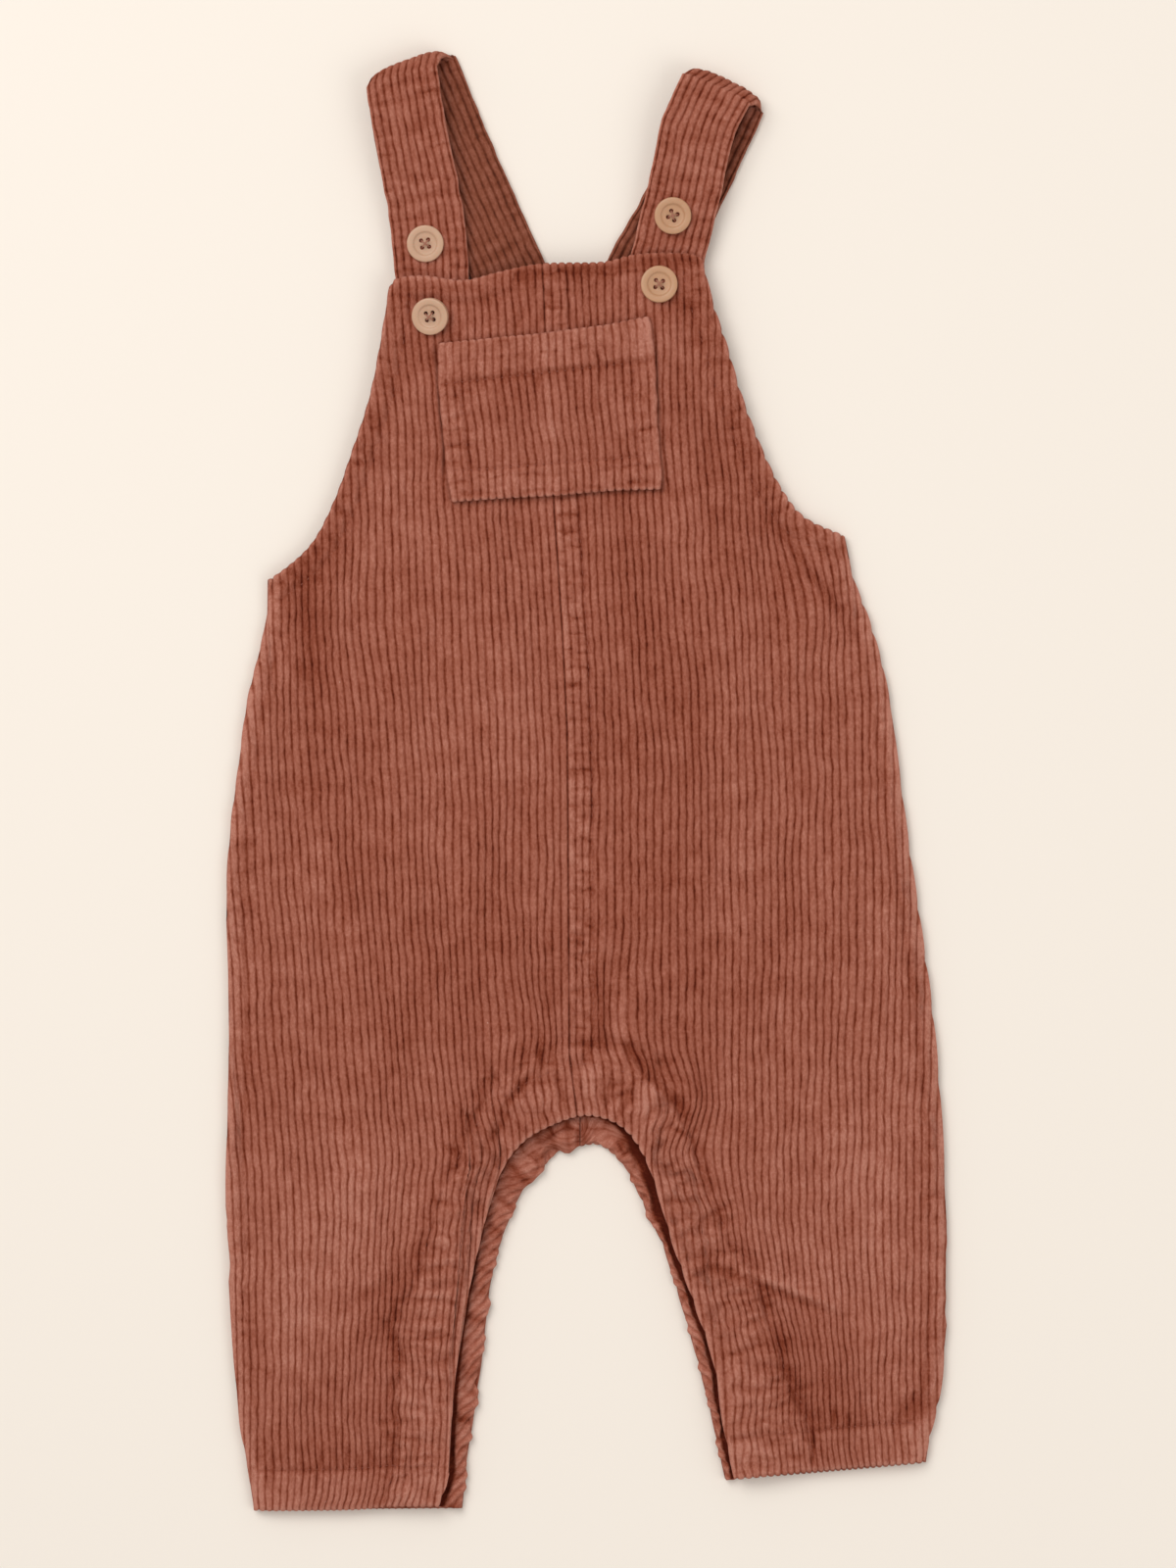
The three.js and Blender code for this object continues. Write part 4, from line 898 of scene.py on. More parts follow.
def pocket_surface(across, up):
    place = pocket_place(across, up)
    x, y = place[..., 0], place[..., 1]
    f = front_form(x, y)
    under = f["inner"] + f["wall"] + WALE_RISE + SEAM_GAP + 0.1
    side = np.minimum(across, 1 - across) * POCKET_WIDE
    from_top, from_foot = (1 - up) * POCKET_TALL, up * POCKET_TALL
    edge = np.minimum(side, np.minimum(from_top, from_foot))
    line = lambda away, wide=0.9: np.exp(-((away / wide) ** 2))
    in_body = step(POCKET_HEM - 2, POCKET_HEM, from_top)
    side_line = line(side - POCKET_TURN) * in_body * 0.65
    # its stitched lines and tucks sink in, and their darkness is painted shade
    pucker_and_painted_shade = np.maximum.reduce([
        0.85 * line(from_top - POCKET_HEM, 1.1) * (side > 1.5),
        side_line,
        0.45 * line(from_foot - POCKET_FOOT) * (side > 6),
        0.65 * tucks(up * POCKET_TALL, side - POCKET_TURN, 5.2, 1.3, 6, -1, 301) * in_body * (side < 15),
        0.45 * tucks(across * POCKET_WIDE, from_foot - POCKET_FOOT, 6.5, 1.5, 6, -1, 303) * (from_foot < 20),
        0.8 * tucks(across * POCKET_WIDE, from_top - POCKET_HEM, 5.6, 1.4, 6, 1, 305)
        * (np.abs(from_top - POCKET_HEM) < 8),
    ])
    corner = np.exp(-((side / 7) ** 2) - (from_top / 12) ** 2)
    middle = np.exp(-(((x - at_height(CENTRE_SEAM, y)) / 2.2) ** 2))
    flat = np.clip(0.75 * corner + 0.25 * (side < POCKET_TURN) + 0.15 * (from_top < POCKET_HEM), 0, 0.85)
    wear_and_painted_light = np.clip(0.12 + 0.5 * corner + 0.7 * (1 - step(0, 1.6, edge)) + 0.35 * middle, 0, 1)
    turned = np.maximum(np.maximum(1 - step(POCKET_TURN - 2, POCKET_TURN, side), 1 - in_body), 1 - step(POCKET_FOOT - 2, POCKET_FOOT, from_foot))
    wall = 1.05 + 0.4 * turned
    wale = across * POCKET_WALES
    bend = 0.3 * middle + 0.14 * wander(x, y, 9, 13, 307)
    round_off = 1.0 * (1 - np.sqrt(1 - (1 - np.clip(edge / 1.6, 0, 1)) ** 2))
    rise = WALE_RISE * (1 - 0.5 * flat) * (1 + 0.18 * wander(wale, y, 3, 12, 309))
    lumps = 0.25 * wander(x, y, 16, 12, 313) + 0.12 * wander(x, y, 8, 3.2, 315)
    z = under + wall + bend + lumps * step(0, 5, edge) - round_off + rise * rib(wale)
    z = z - 0.85 * pucker_and_painted_shade * step(0, 2, edge)
    border = np.maximum(np.maximum(1 - step(6, 12, side), 1 - step(9, 16, from_foot)), 0.7 * (1 - step(12, 20, from_top)))
    wear_and_painted_light = np.clip(wear_and_painted_light + 0.3 * border, 0, 1)
    marks = {"wear_and_painted_light": wear_and_painted_light, "flat": flat, "pucker_and_painted_shade": 0.85 * pucker_and_painted_shade, "ruffle": 0.85 * border}
    return x, y, under, np.maximum(z, under + 0.3), marks


def make_pocket():
    columns = POCKET_WALES * PER_WALE + 1
    across = np.linspace(0, 1, columns)
    rows = np.concatenate([[0, 0.004, 0.012, 0.024], np.linspace(0.04, 0.96, 74), [0.976, 0.988, 0.996, 1]])
    a, b = np.meshgrid(across, rows, indexing="ij")
    x, y, under, z, marks = pocket_surface(a, b)
    proud = SCALLOP * (rib(a * POCKET_WALES) - 0.4)
    y = y + proud * (step(0.93, 1, b) * 0.6 - step(0.93, 1, 1 - b))
    stray = 0.28 * wander(a * POCKET_WALES, y, 1.7, 5, 311) + 0.25 * wander(a * POCKET_WALES, y, 4, 14, 317)
    x = x + stray * step(0, 0.05, np.minimum(b, 1 - b))
    kept = inner_columns(columns, PER_WALE)
    uv = np.stack([a * POCKET_WALES, b * POCKET_TALL / PITCH + 900], -1)
    return shell("pocket_cloth", np.stack([x, y, z], -1), np.stack([x, y, under], -1)[kept], kept, uv, marks)


pocket = make_pocket()

# %% [markdown]
# ## The shoulder straps
#
# Each strap is a tube of corduroy pressed flat, nine wales wide, so both of its faces are
# ribbed. It comes up from behind the bib, folds over in a loose bend and goes back down to
# the back. It is built from sections along that path, each with the direction it lies across.

# %% Make the straps
STRAP_WIDTH, STRAP_WALES, STRAP_THICKNESS, FOLD_RADIUS = 30, 9, 3.0, 5
# x, y, height of the middle, degrees across
STRAP_FRONT = {
    "left": [(-61, 177, 4.0, 4), (-62.4, 197, 4.6, 5), (-63.4, 211, 5.2, 6), (-65, 227.8, 6.4, 9),
             (-67.4, 242.2, 8.2, 11), (-70.2, 255.8, 9.8, 12), (-72.8, 270, 11, 13)],
    "right": [(28.6, 190, 5.2, -9), (30.6, 202, 5.2, -11), (33.3, 213.4, 5.3, -14), (36.8, 227.8, 6.4, -13),
              (40, 240.6, 8, -11), (42.4, 252.2, 9.6, -12), (45.6, 265.8, 11, -18)],
}
STRAP_BACK = {
    "left": [(-57.6, 266.4, 1.5, 23), (-45.6, 238.4, 1.5, 24), (-35.2, 214.8, 1.5, 25), (-30, 203, 1.5, 24),
             (-24.6, 188, 1.9, 20), (-22.4, 177, 3.9, 14), (-21.6, 167, 3.9, 8)],
    "right": [(52.2, 264, 1.5, -23), (40.2, 238.6, 1.5, -27), (26.8, 214.8, 1.5, -29), (20.4, 203, 1.5, -28),
              (13.6, 188, 1.9, -20), (10.8, 177, 3.9, -14), (9.8, 167, 3.9, -8)],
}
# the fold's upper end, its lower end, and the way it faces
STRAP_FOLD = {
    "left": ((-75.4, 286.2, 17), (-67.2, 289.3, 23), 21),
    "right": ((52.6, 280.8, -24), (58.6, 278.4, -23), -26),
}


def strap_path(which):
    (tx, ty, t_turn), (ux, uy, u_turn), facing = STRAP_FOLD[which]
    share = np.linspace(0, 1, 15)
    angle = math.radians(facing)
    out = FOLD_RADIUS * np.sin(np.pi * share)
    fold = np.stack([
        mix(tx, ux, share) - math.sin(angle) * out,
        mix(ty, uy, share) + math.cos(angle) * out,
        STRAP_THICKNESS / 2 + FOLD_RADIUS * (1 + np.cos(np.pi * share)),
        np.where(share < 0.5, mix(t_turn, facing, share * 2), mix(facing, u_turn, share * 2 - 1)),
    ], -1)
    rows = np.vstack([STRAP_FRONT[which], fold, STRAP_BACK[which]])
    fine = trace(rows, 8)
    reach = np.concatenate([[0], np.cumsum(np.linalg.norm(np.diff(fine[:, :3], axis=0), axis=1))])
    at = np.linspace(0, reach[-1], 230)
    return np.stack([np.interp(at, reach, fine[:, k]) for k in range(4)], -1), at


def make_strap(which, seed):
    path, at = strap_path(which)
    middle = path[:, :3]
    heading = np.gradient(middle, axis=0)
    heading /= np.linalg.norm(heading, axis=1)[:, None]
    turn = np.radians(path[:, 3])
    across = np.stack([np.cos(turn), np.sin(turn), 0 * turn], -1)
    outward = np.cross(across, heading)
    outward /= np.linalg.norm(outward, axis=1)[:, None]
    half, thick = STRAP_WIDTH / 2, STRAP_THICKNESS / 2
    flat_half = half - 1.1
    steps = STRAP_WALES * 7
    face = np.linspace(-flat_half, flat_half, steps + 1)
    bend = np.radians(np.linspace(80, -80, 7))
    side = np.stack([flat_half + 1.1 * np.cos(bend), (thick - 0.1) * np.sin(bend)], -1)
    ring = np.vstack([
        np.stack([face, thick + 0 * face], -1), side,
        np.stack([face[::-1], -thick + 0 * face], -1), -side,
    ])
    on_face = np.abs(ring[:, 0]) <= flat_half + 1e-6
    wale = ring[:, 0] / (2 * flat_half) * STRAP_WALES + STRAP_WALES / 2
    wale = np.where(ring[:, 1] < 0, 2 * STRAP_WALES + 2 - wale, wale)
    a, s = np.meshgrid(ring[:, 0], at)
    up = np.sign(ring[:, 1] + 1e-9)[None, :] * np.ones_like(s)
    w = np.broadcast_to(wale, s.shape)
    to_side = half - np.abs(a)
    stitched = np.exp(-(((to_side - 4.2) / 0.9) ** 2))
    pucker_and_painted_shade = np.maximum(
        0.75 * tucks(s, a + 40 * up, 8.6, 1.9, 19, 40, seed) + 0.9 * tucks(s, a + 40 * up, 8.6, 1.9, 19, -40, seed + 5),
        0.3 * stitched + 0.7 * tucks(s, to_side, 5.4, 1.3, 5, 3.5, seed + 2),
    )
    lumps = 0.14 * wander(s, w, 3.6, 1.3, seed + 7) + 0.12 * wander(s, w, 9, 3, seed + 8)
    deep = 0.85 * (1 - rib(w)) * (1 + 0.2 * wander(s, w, 12, 2, seed + 9)) + 0.6 * pucker_and_painted_shade + lumps
    wave = 1 + 0.028 * wander(s, up * 50, 5.5, 20, seed + 3)
    out = ring[None, :, 1] - np.where(on_face, up * deep, 0)
    sideways = a * wave + 0.25 * wander(w, s, 1.7, 5, seed + 6) * on_face * step(0, 3, to_side)
    facing = math.radians(STRAP_FOLD[which][2])
    top_of_fold = at[np.argmax(middle @ np.array([-math.sin(facing), math.cos(facing), 0]))]
    pulled = 2.4 * np.abs(a / half) ** 5 * np.exp(-(((s - top_of_fold) / 9) ** 2))
    back_down = np.array([math.sin(facing), -math.cos(facing), 0])
    points = middle[:, None, :] + across[:, None, :] * sideways[..., None] + outward[:, None, :] * out[..., None]
    points = points + back_down * pulled[..., None]
    sections, count = s.shape
    faces = []
    for i in range(sections - 1):
        for j in range(count):
            k = (j + 1) % count
            faces.append([i * count + j, i * count + k, (i + 1) * count + k, (i + 1) * count + j])
    faces.append(list(range(count))[::-1])
    faces.append([(sections - 1) * count + j for j in range(count)])
    # painted shade: past the fold, inside the loop, the strap is painted less pale, darker and duller; the dark of its
    # tucks is painted shade too
    folded_under = step(0.42, 0.56, s / at[-1])
    wear_and_painted_light = np.clip(0.4 - 0.3 * folded_under + 0.5 * (1 - step(0, 1.4, to_side)), 0, 1)
    dark = np.clip(0.8 * pucker_and_painted_shade + 0.3 * folded_under, 0, 1)
    marks = {"wear_and_painted_light": wear_and_painted_light, "flat": 0.1 + 0.2 * stitched, "pucker_and_painted_shade": dark, "ruffle": 0.8 - 0.35 * step(3, 9, to_side)}
    marks["loop_painted_shade"] = folded_under
    uv = np.stack([w, s / PITCH + 300 + seed], -1)
    return new_piece(f"strap_{which}_cloth", points.reshape(-1, 3), faces, uv.reshape(-1, 2), marks)


strap_left = make_strap("left", 401)
strap_right = make_strap("right", 431)

# %% [markdown]
# ## The buttons
#
# Flat four-hole buttons, turned from polyester resin with a broad polished rim round a
# shallow dish. One is modelled from a disc: its faces are inset and moved for rim and dish,
# its edges are bevelled, and four holes are cut through it. Each of the others is a copy.

# %% Model one button
BUTTON_R, BUTTON_T = 7.5, 2.6
DISH_R, DISH_DEPTH = 4.6, 0.75
HOLE_R, HOLE_SPACING = 0.85, 2.9


def deselect():
    bpy.ops.object.select_all(action="DESELECT")


def add_cylinder(radius, depth, place, sides):
    deselect()
    bpy.ops.mesh.primitive_cylinder_add(
        vertices=sides, radius=radius * MM, depth=depth * MM, location=[c * MM for c in place]
    )
    return bpy.context.active_object


def apply_modifier(piece, kind, **settings):
    deselect()
    piece.select_set(True)
    bpy.context.view_layer.objects.active = piece
    modifier = piece.modifiers.new(kind.lower(), kind)
    for key, value in settings.items():
        setattr(modifier, key, value)
    bpy.ops.object.modifier_apply(modifier=modifier.name)


def model_button():
    button = add_cylinder(BUTTON_R, BUTTON_T, (0, 0, BUTTON_T / 2), 72)
    bpy.ops.object.mode_set(mode="EDIT")
    bpy.ops.mesh.select_mode(type="FACE")
    bpy.ops.mesh.select_all(action="DESELECT")
    bpy.ops.object.mode_set(mode="OBJECT")
    for face in button.data.polygons:
        face.select = face.normal.z > 0.9
    bpy.ops.object.mode_set(mode="EDIT")
    for thickness, lift in ((0.9, 0.12), (BUTTON_R - DISH_R - 0.9 - 0.5, -0.05), (0.7, -DISH_DEPTH), (1.2, -0.06)):
        bpy.ops.mesh.inset(thickness=thickness * MM, depth=lift * MM)
    bpy.ops.mesh.select_all(action="DESELECT")
    bpy.ops.object.mode_set(mode="OBJECT")
    for face in button.data.polygons:
        face.select = face.normal.z < -0.9
    bpy.ops.object.mode_set(mode="EDIT")
    bpy.ops.mesh.inset(thickness=1.4 * MM, depth=0)
    bpy.ops.object.mode_set(mode="OBJECT")
    apply_modifier(button, "BEVEL", width=0.42 * MM, segments=4, limit_method="ANGLE", angle_limit=math.radians(40))
    for dx in (-0.5, 0.5):
        for dy in (-0.5, 0.5):
            drill = add_cylinder(HOLE_R, 8, (dx * HOLE_SPACING, dy * HOLE_SPACING, 1), 20)
            apply_modifier(button, "BOOLEAN", operation="DIFFERENCE", solver="EXACT", object=drill)
            bpy.data.objects.remove(drill)
    apply_modifier(button, "BEVEL", width=0.12 * MM, segments=2, limit_method="ANGLE", angle_limit=math.radians(55))
    deselect()
    button.select_set(True)
    bpy.ops.object.shade_smooth_by_angle(angle=math.radians(40))
    print("button triangles:", sum(len(p.vertices) - 2 for p in button.data.polygons))
    return button


pattern_button = model_button()

# %% Sew on the four
# x, y, tilt about X, tilt about Y and turn about its own axis, in degrees
BUTTONS = {
    "button_strap_left": (-65.8, 218.6, 5, 0, 8),
    "button_strap_right": (35.2, 229.9, 7, 0, -28),
    "button_bib_left": (-63.7, 188.6, 11, -13, 6),
    "button_bib_right": (29.6, 201.8, 0, 0, -6),
}


def surface_of(pieces):
    points, polygons = [], []
    for piece in pieces:
        first = len(points)
        points += [v.co[:] for v in piece.data.vertices]
        polygons += [[first + i for i in p.vertices] for p in piece.data.polygons]
    return BVHTree.FromPolygons(points, polygons)


def height_at(tree, x, y):
    hit = tree.ray_cast(Vector((x * MM, y * MM, 0.1)), Vector((0, 0, -1)))[0]
    return hit.z / MM if hit else 0.0


def tube(points, radius, sides=6):
    """Points and faces of a closed round tube along some points."""
    points = [Vector(p) for p in points]
    made, faces = [], []
    for i, p in enumerate(points):
        ahead = points[min(i + 1, len(points) - 1)] - points[max(i - 1, 0)]
        side = ahead.cross(Vector((0.13, 0.21, 1))).normalized()
        other = side.cross(ahead).normalized()
        for k in range(sides):
            turn = 2 * math.pi * k / sides
            made.append(p + (side * math.cos(turn) + other * math.sin(turn)) * radius)
    for i in range(len(points) - 1):
        for k in range(sides):
            a, b = i * sides + k, i * sides + (k + 1) % sides
            faces.append([a, b, b + sides, a + sides])
    faces.append(list(range(sides))[::-1])
    faces.append([(len(points) - 1) * sides + k for k in range(sides)])
    return made, faces


def joined(name, tubes, uv_at=(0.5, 0)):
    points, faces = [], []
    for made, polygons in tubes:
        faces += [[len(points) + i for i in face] for face in polygons]
        points += [tuple(p) for p in made]
    zero = np.zeros(len(points))
    uv = np.tile(uv_at, (len(points), 1))
    piece = new_piece(name, points, [f[::-1] for f in faces], uv, {"wear_and_painted_light": zero, "flat": zero, "pucker_and_painted_shade": zero, "ruffle": zero})
    return piece


def sew_on(name, x, y, tilt_x, tilt_y, turn, tree):
    rim = [(r * math.cos(k), r * math.sin(k)) for r in (2, 4, 6.5, 7.3) for k in np.radians(range(0, 360, 20))]
    slope_x, slope_y = math.radians(tilt_x), math.radians(tilt_y)
    seat = max(height_at(tree, x + a, y + b) - b * math.sin(slope_x) + a * math.sin(slope_y) for a, b in rim)
    button = pattern_button.copy()
    button.data = pattern_button.data.copy()
    button.name = name + "_resin"
    bpy.context.scene.collection.objects.link(button)
    button.location = (x * MM, y * MM, (seat + 0.15) * MM)
    button.rotation_euler = (slope_x, slope_y, math.radians(turn))
    deselect()
    button.select_set(True)
    bpy.context.view_layer.objects.active = button
    bpy.context.view_layer.update()
    to_world = button.matrix_world.copy()
    bpy.ops.object.transform_apply(location=True, rotation=True, scale=True)
    h, dish = HOLE_SPACING / 2, BUTTON_T - DISH_DEPTH
    strands = []
    for k, (a, b) in enumerate((((-h, -h), (h, h)), ((-h, h), (h, -h)))):
        for shift in (-0.17, 0.17):
            lift = dish + 0.16 + 0.22 * k
            way = [(a[0] + shift, a[1], dish - 1.5), (a[0] * 0.8 + shift, a[1] * 0.8, lift), (shift, 0, lift + 0.12),
                   (b[0] * 0.8 + shift, b[1] * 0.8, lift), (b[0] + shift, b[1], dish - 1.5)]
            placed = [to_world @ (Vector(p) * MM) / MM for p in way]
            strands.append(tube(placed, 0.2))
    thread = joined(name + "_thread", strands)
    print(name, "seat in mm:", round(seat, 2))
    return button, thread


bib_tree = surface_of([front_left, front_right, pocket])
strap_tree = surface_of([strap_left, strap_right])
buttons, threads = {}, {}
for name, row in BUTTONS.items():
    buttons[name], threads[name] = sew_on(name, *row, bib_tree if "bib" in name else strap_tree)
bpy.data.objects.remove(pattern_button)

# %% [markdown]
# ## The stitching
#
# The seams are topstitched in thread of the cloth's own colour, about eight stitches to the
# inch, and the pile nearly closes over it. Each stitch is a short bead of thread laid on the
# finished surface and sunk into it, so it only shows up close, as on the real garment.

# %% Lay the stitches
STITCH, STITCH_GAP, THREAD_R = 2.5, 0.7, 0.22


def offset_line(line, distance):
    heading = np.gradient(line, axis=0)
    heading /= np.linalg.norm(heading, axis=1)[:, None]
    return line + np.stack([-heading[:, 1], heading[:, 0]], -1) * distance


def stitch(name, lines, tree, sunk=0.12):
    beads = []
    for line in lines:
        reach = np.concatenate([[0], np.cumsum(np.hypot(*np.diff(line, axis=0).T))])
        for start in np.arange(1, reach[-1] - STITCH, STITCH + STITCH_GAP):
            at = np.linspace(start, start + STITCH, 4)
            xs, ys = (np.interp(at, reach, line[:, k]) for k in (0, 1))
            zs = [height_at(tree, x, y) for x, y in zip(xs, ys)]
            if min(zs) < BACK_TOP:
                continue
            level = np.array(zs) - sunk - np.array([0.3, 0, 0, 0.3])
            beads.append(tube(np.stack([xs, ys, level], -1), THREAD_R, 5))
    return joined(name, beads)


def seam_line(away, low, high):
    y = np.arange(low, high, 4.0)
    return np.stack([at_height(CENTRE_SEAM, y) + away, y], -1)


facing_line = offset_line(EDGES["inner"], -facing_width(*EDGES["inner"].T)[:, None])
in_pocket = lambda a, b: np.stack([pocket_place(s, t) for s, t in zip(np.linspace(a[0], b[0], 30), np.linspace(a[1], b[1], 30))])
side_share, foot_share, hem_share = POCKET_TURN / POCKET_WIDE, POCKET_FOOT / POCKET_TALL, 1 - POCKET_HEM / POCKET_TALL
front_stitching = stitch(
    "front_stitching",
    [facing_line, offset_line(EDGES["hem_left"], -HEM_DEPTH), offset_line(EDGES["hem_right"], -HEM_DEPTH),
     offset_line(EDGES["armhole_left"], -EDGE_TURN), offset_line(EDGES["armhole_right"], -EDGE_TURN),
     seam_line(10, -100, 112)],
    surface_of([front_left, front_right]),
)
pocket_stitching = stitch(
    "pocket_stitching",
    [in_pocket((0.02, hem_share), (0.98, hem_share)), in_pocket((side_share, 0.02), (side_share, hem_share)),
     in_pocket((1 - side_share, 0.02), (1 - side_share, hem_share)), in_pocket((0.02, foot_share), (0.98, foot_share))],
    surface_of([pocket]),
)

# %% [markdown]
# ## Corduroy
#
# The cloth is a cotton pile fabric, piece dyed a rust brown, brushed and washed. Light falls
# into the valleys between the wales and is lost, so they look a deep red-brown, while the
# crowns are mid brown with a soft sheen. Pile lies this way and that in patches, and it wears
# pale along edges and at the knees. All of this is drawn in the cloth's own UV, in wales.

# %% Colours and a node helper
def linear(hex_colour):
    channels = [int(hex_colour[i : i + 2], 16) / 255 for i in (1, 3, 5)]
    return [c / 12.92 if c <= 0.04045 else ((c + 0.055) / 1.055) ** 2.4 for c in channels] + [1.0]


def node(tree, kind, inputs=None, **settings):
    """Adds a node with its settings and its inputs, each a value, a node or a node's socket."""
    made = tree.nodes.new("ShaderNode" + kind)
    for key, value in settings.items():
        setattr(made, key, value)
    for name, value in (inputs or {}).items():
        if isinstance(value, bpy.types.Node):
            value = value.outputs[0]
        if isinstance(value, bpy.types.NodeSocket):
            tree.links.new(value, made.inputs[name])
        else:
            made.inputs[name].default_value = value
    return made


def new_material(name):
    material = bpy.data.materials.new(name)
    material.use_nodes = True
    material.node_tree.nodes.clear()
    return material, material.node_tree


# %% [markdown]
# The pile's tone runs from 0, deep in a valley, to 1, where it is rubbed pale. One ramp turns
# tone into colour, and everything else only moves the tone: painted shade in the groove between
# two wales, the way the nap was last stroked, tufts, single fibres, wear, painted light on
# raised lumps, and painted shade in puckers, creases, seams and gaps. Each noise has its size
# across and along the wales in millimetres.

# %% The corduroy material
# size across and along in mm, detail, and the range of tone that it spans
NAP = {
    "brushing": (24, 64, 2, 0.08),
    "strokes": (20, 9, 3, 0.1),
    "rows": (3.3, 8, 3, 0.13),
    "tufts": (0.9, 1.6, 3, 0.18),
    "fibres": (0.2, 0.36, 2, 0.24),
}
GROOVE_EDGE, GROOVE_DEPTH, DENT_SIZE, DENT_SHIFT = (1.6, 3.2, 3), (3.4, 10, 3), (7, 5, 1), (8, 12, 2)
DENT_SPACING = 7.0
LINT_CELL, LINT_SIZE = 9, 0.028
# the dull dark brown that paints the shade inside the straps' loops, and how much of it
LOOP_SHADE_PILE, LOOP_SHADE_SHARE = "#6a4a38", 0.28
PILE_STEPS = ((0.0, "#541a0c"), (0.25, "#7b3722"), (0.5, "#975441"), (0.75, "#b06f5d"), (0.9, "#c28675"), (1.0, "#e4cec0"))


def brushed_corduroy(name, crown, groove=1.0):
    material, tree = new_material(name)
    uv = node(tree, "UVMap", uv_map="grain")
    mark = {word: node(tree, "Attribute", attribute_name=word).outputs["Fac"] for word in ("wear_and_painted_light", "flat", "pucker_and_painted_shade", "ruffle")}
    noise = {}
    sizes = {**{word: row[:3] for word, row in NAP.items()}, "edge": GROOVE_EDGE, "depth": GROOVE_DEPTH}
    sizes = {**sizes, "dents": DENT_SIZE, "shift": DENT_SHIFT}
    for word, (across, along, detail) in sizes.items():
        sized = node(tree, "VectorMath", {0: uv, 1: (PITCH / across, PITCH / along, 1)}, operation="MULTIPLY")
        wants = {"Vector": sized, "Scale": 1.0, "Detail": detail, "Roughness": 0.6}
        noise[word] = node(tree, "TexNoise", wants)

    tone = node(tree, "Math", {0: mark["wear_and_painted_light"], 1: 0.2, 2: crown}, operation="MULTIPLY_ADD")
    for word, (_, _, _, spread) in NAP.items():
        ends = {"Value": noise[word], "From Min": 0.3, "From Max": 0.7, "To Min": -spread / 2, "To Max": spread / 2}
        shift = node(tree, "MapRange", ends, interpolation_type="SMOOTHSTEP")
        tone = node(tree, "Math", {0: tone, 1: shift}, operation="ADD")

    # from the middle of a groove, where it is 0, to a crown, where it is a half
    place = node(tree, "SeparateXYZ", {0: uv})
    to_crown = node(tree, "Math", {0: place.outputs["X"], 1: 0.5}, operation="PINGPONG")
    uneven = node(tree, "MapRange", {"Value": noise["edge"], "To Min": -0.09, "To Max": 0.09})
    to_crown = node(tree, "Math", {0: to_crown, 1: uneven}, operation="ADD")
    ends = {"Value": to_crown, "From Min": 0.27, "From Max": -0.02}
    valley = node(tree, "MapRange", ends, interpolation_type="SMOOTHSTEP")
    ends = {"Value": noise["depth"], "From Min": 0.32, "From Max": 0.68, "To Min": -0.25 * groove, "To Max": -0.5 * groove}
    depth = node(tree, "MapRange", ends, interpolation_type="SMOOTHSTEP")
    depth = node(tree, "Math", {0: mark["flat"], 1: 0.22, 2: depth}, operation="MULTIPLY_ADD")
    # painted shade: the groove between two wales is painted darker
    tone = node(tree, "Math", {0: valley, 1: depth, 2: tone}, operation="MULTIPLY_ADD")
    # painted shade in puckers, stitched lines, creases and gaps
    tone = node(tree, "Math", {0: mark["pucker_and_painted_shade"], 1: -0.3, 2: tone}, operation="MULTIPLY_ADD")

    # short crisp dents across the wales, where stitching gathers the cloth: a bump, and painted shade that darkens each
    # dent
    along = node(tree, "Math", {0: place.outputs["Y"], 1: PITCH / DENT_SPACING, 2: noise["shift"]}, operation="MULTIPLY_ADD")
    along = node(tree, "Math", {0: along, 1: 0.5}, operation="PINGPONG")
    rung = node(tree, "MapRange", {"Value": along, "From Min": 0.21, "From Max": 0.0}, interpolation_type="SMOOTHSTEP")
    chosen = node(tree, "MapRange", {"Value": noise["dents"], "From Min": 0.38, "From Max": 0.6}, interpolation_type="SMOOTHSTEP")
    dent = node(tree, "Math", {0: rung, 1: chosen}, operation="MULTIPLY")
    dent = node(tree, "Math", {0: dent, 1: mark["ruffle"]}, operation="MULTIPLY")
    tone = node(tree, "Math", {0: dent, 1: -0.17, 2: tone}, operation="MULTIPLY_ADD")

    # lint, a fleck in one cell of ten
    cells = node(tree, "TexVoronoi", {"Vector": uv, "Scale": PITCH / LINT_CELL})
    drawn = node(tree, "SeparateColor", {0: cells.outputs["Color"]})
    drawn = node(tree, "Math", {0: drawn, 1: 0.9}, operation="GREATER_THAN")
    small = node(tree, "Math", {0: cells.outputs["Distance"], 1: LINT_SIZE}, operation="LESS_THAN")
    fleck = node(tree, "Math", {0: drawn, 1: small}, operation="MULTIPLY")
    tone = node(tree, "Math", {0: tone, 1: 0.88}, operation="MINIMUM")
    tone = node(tree, "Math", {0: fleck, 1: 0.25, 2: tone}, operation="MULTIPLY_ADD")

    ramp = node(tree, "ValToRGB", {0: tone})
    while len(ramp.color_ramp.elements) < len(PILE_STEPS):
        ramp.color_ramp.elements.new(1.0)
    for stop, (place, colour) in zip(ramp.color_ramp.elements, PILE_STEPS):
        stop.position = place
        stop.color = linear(colour)

    # painted shade: the straps' halves inside the loop are mixed toward a dull dark brown
    loop_painted_shade = node(tree, "Attribute", attribute_name="loop_painted_shade").outputs["Fac"]
    share = node(tree, "Math", {0: loop_painted_shade, 1: LOOP_SHADE_SHARE}, operation="MULTIPLY")
    colour = node(tree, "Mix", {0: share, 6: ramp, 7: linear(LOOP_SHADE_PILE)}, data_type="RGBA").outputs[2]

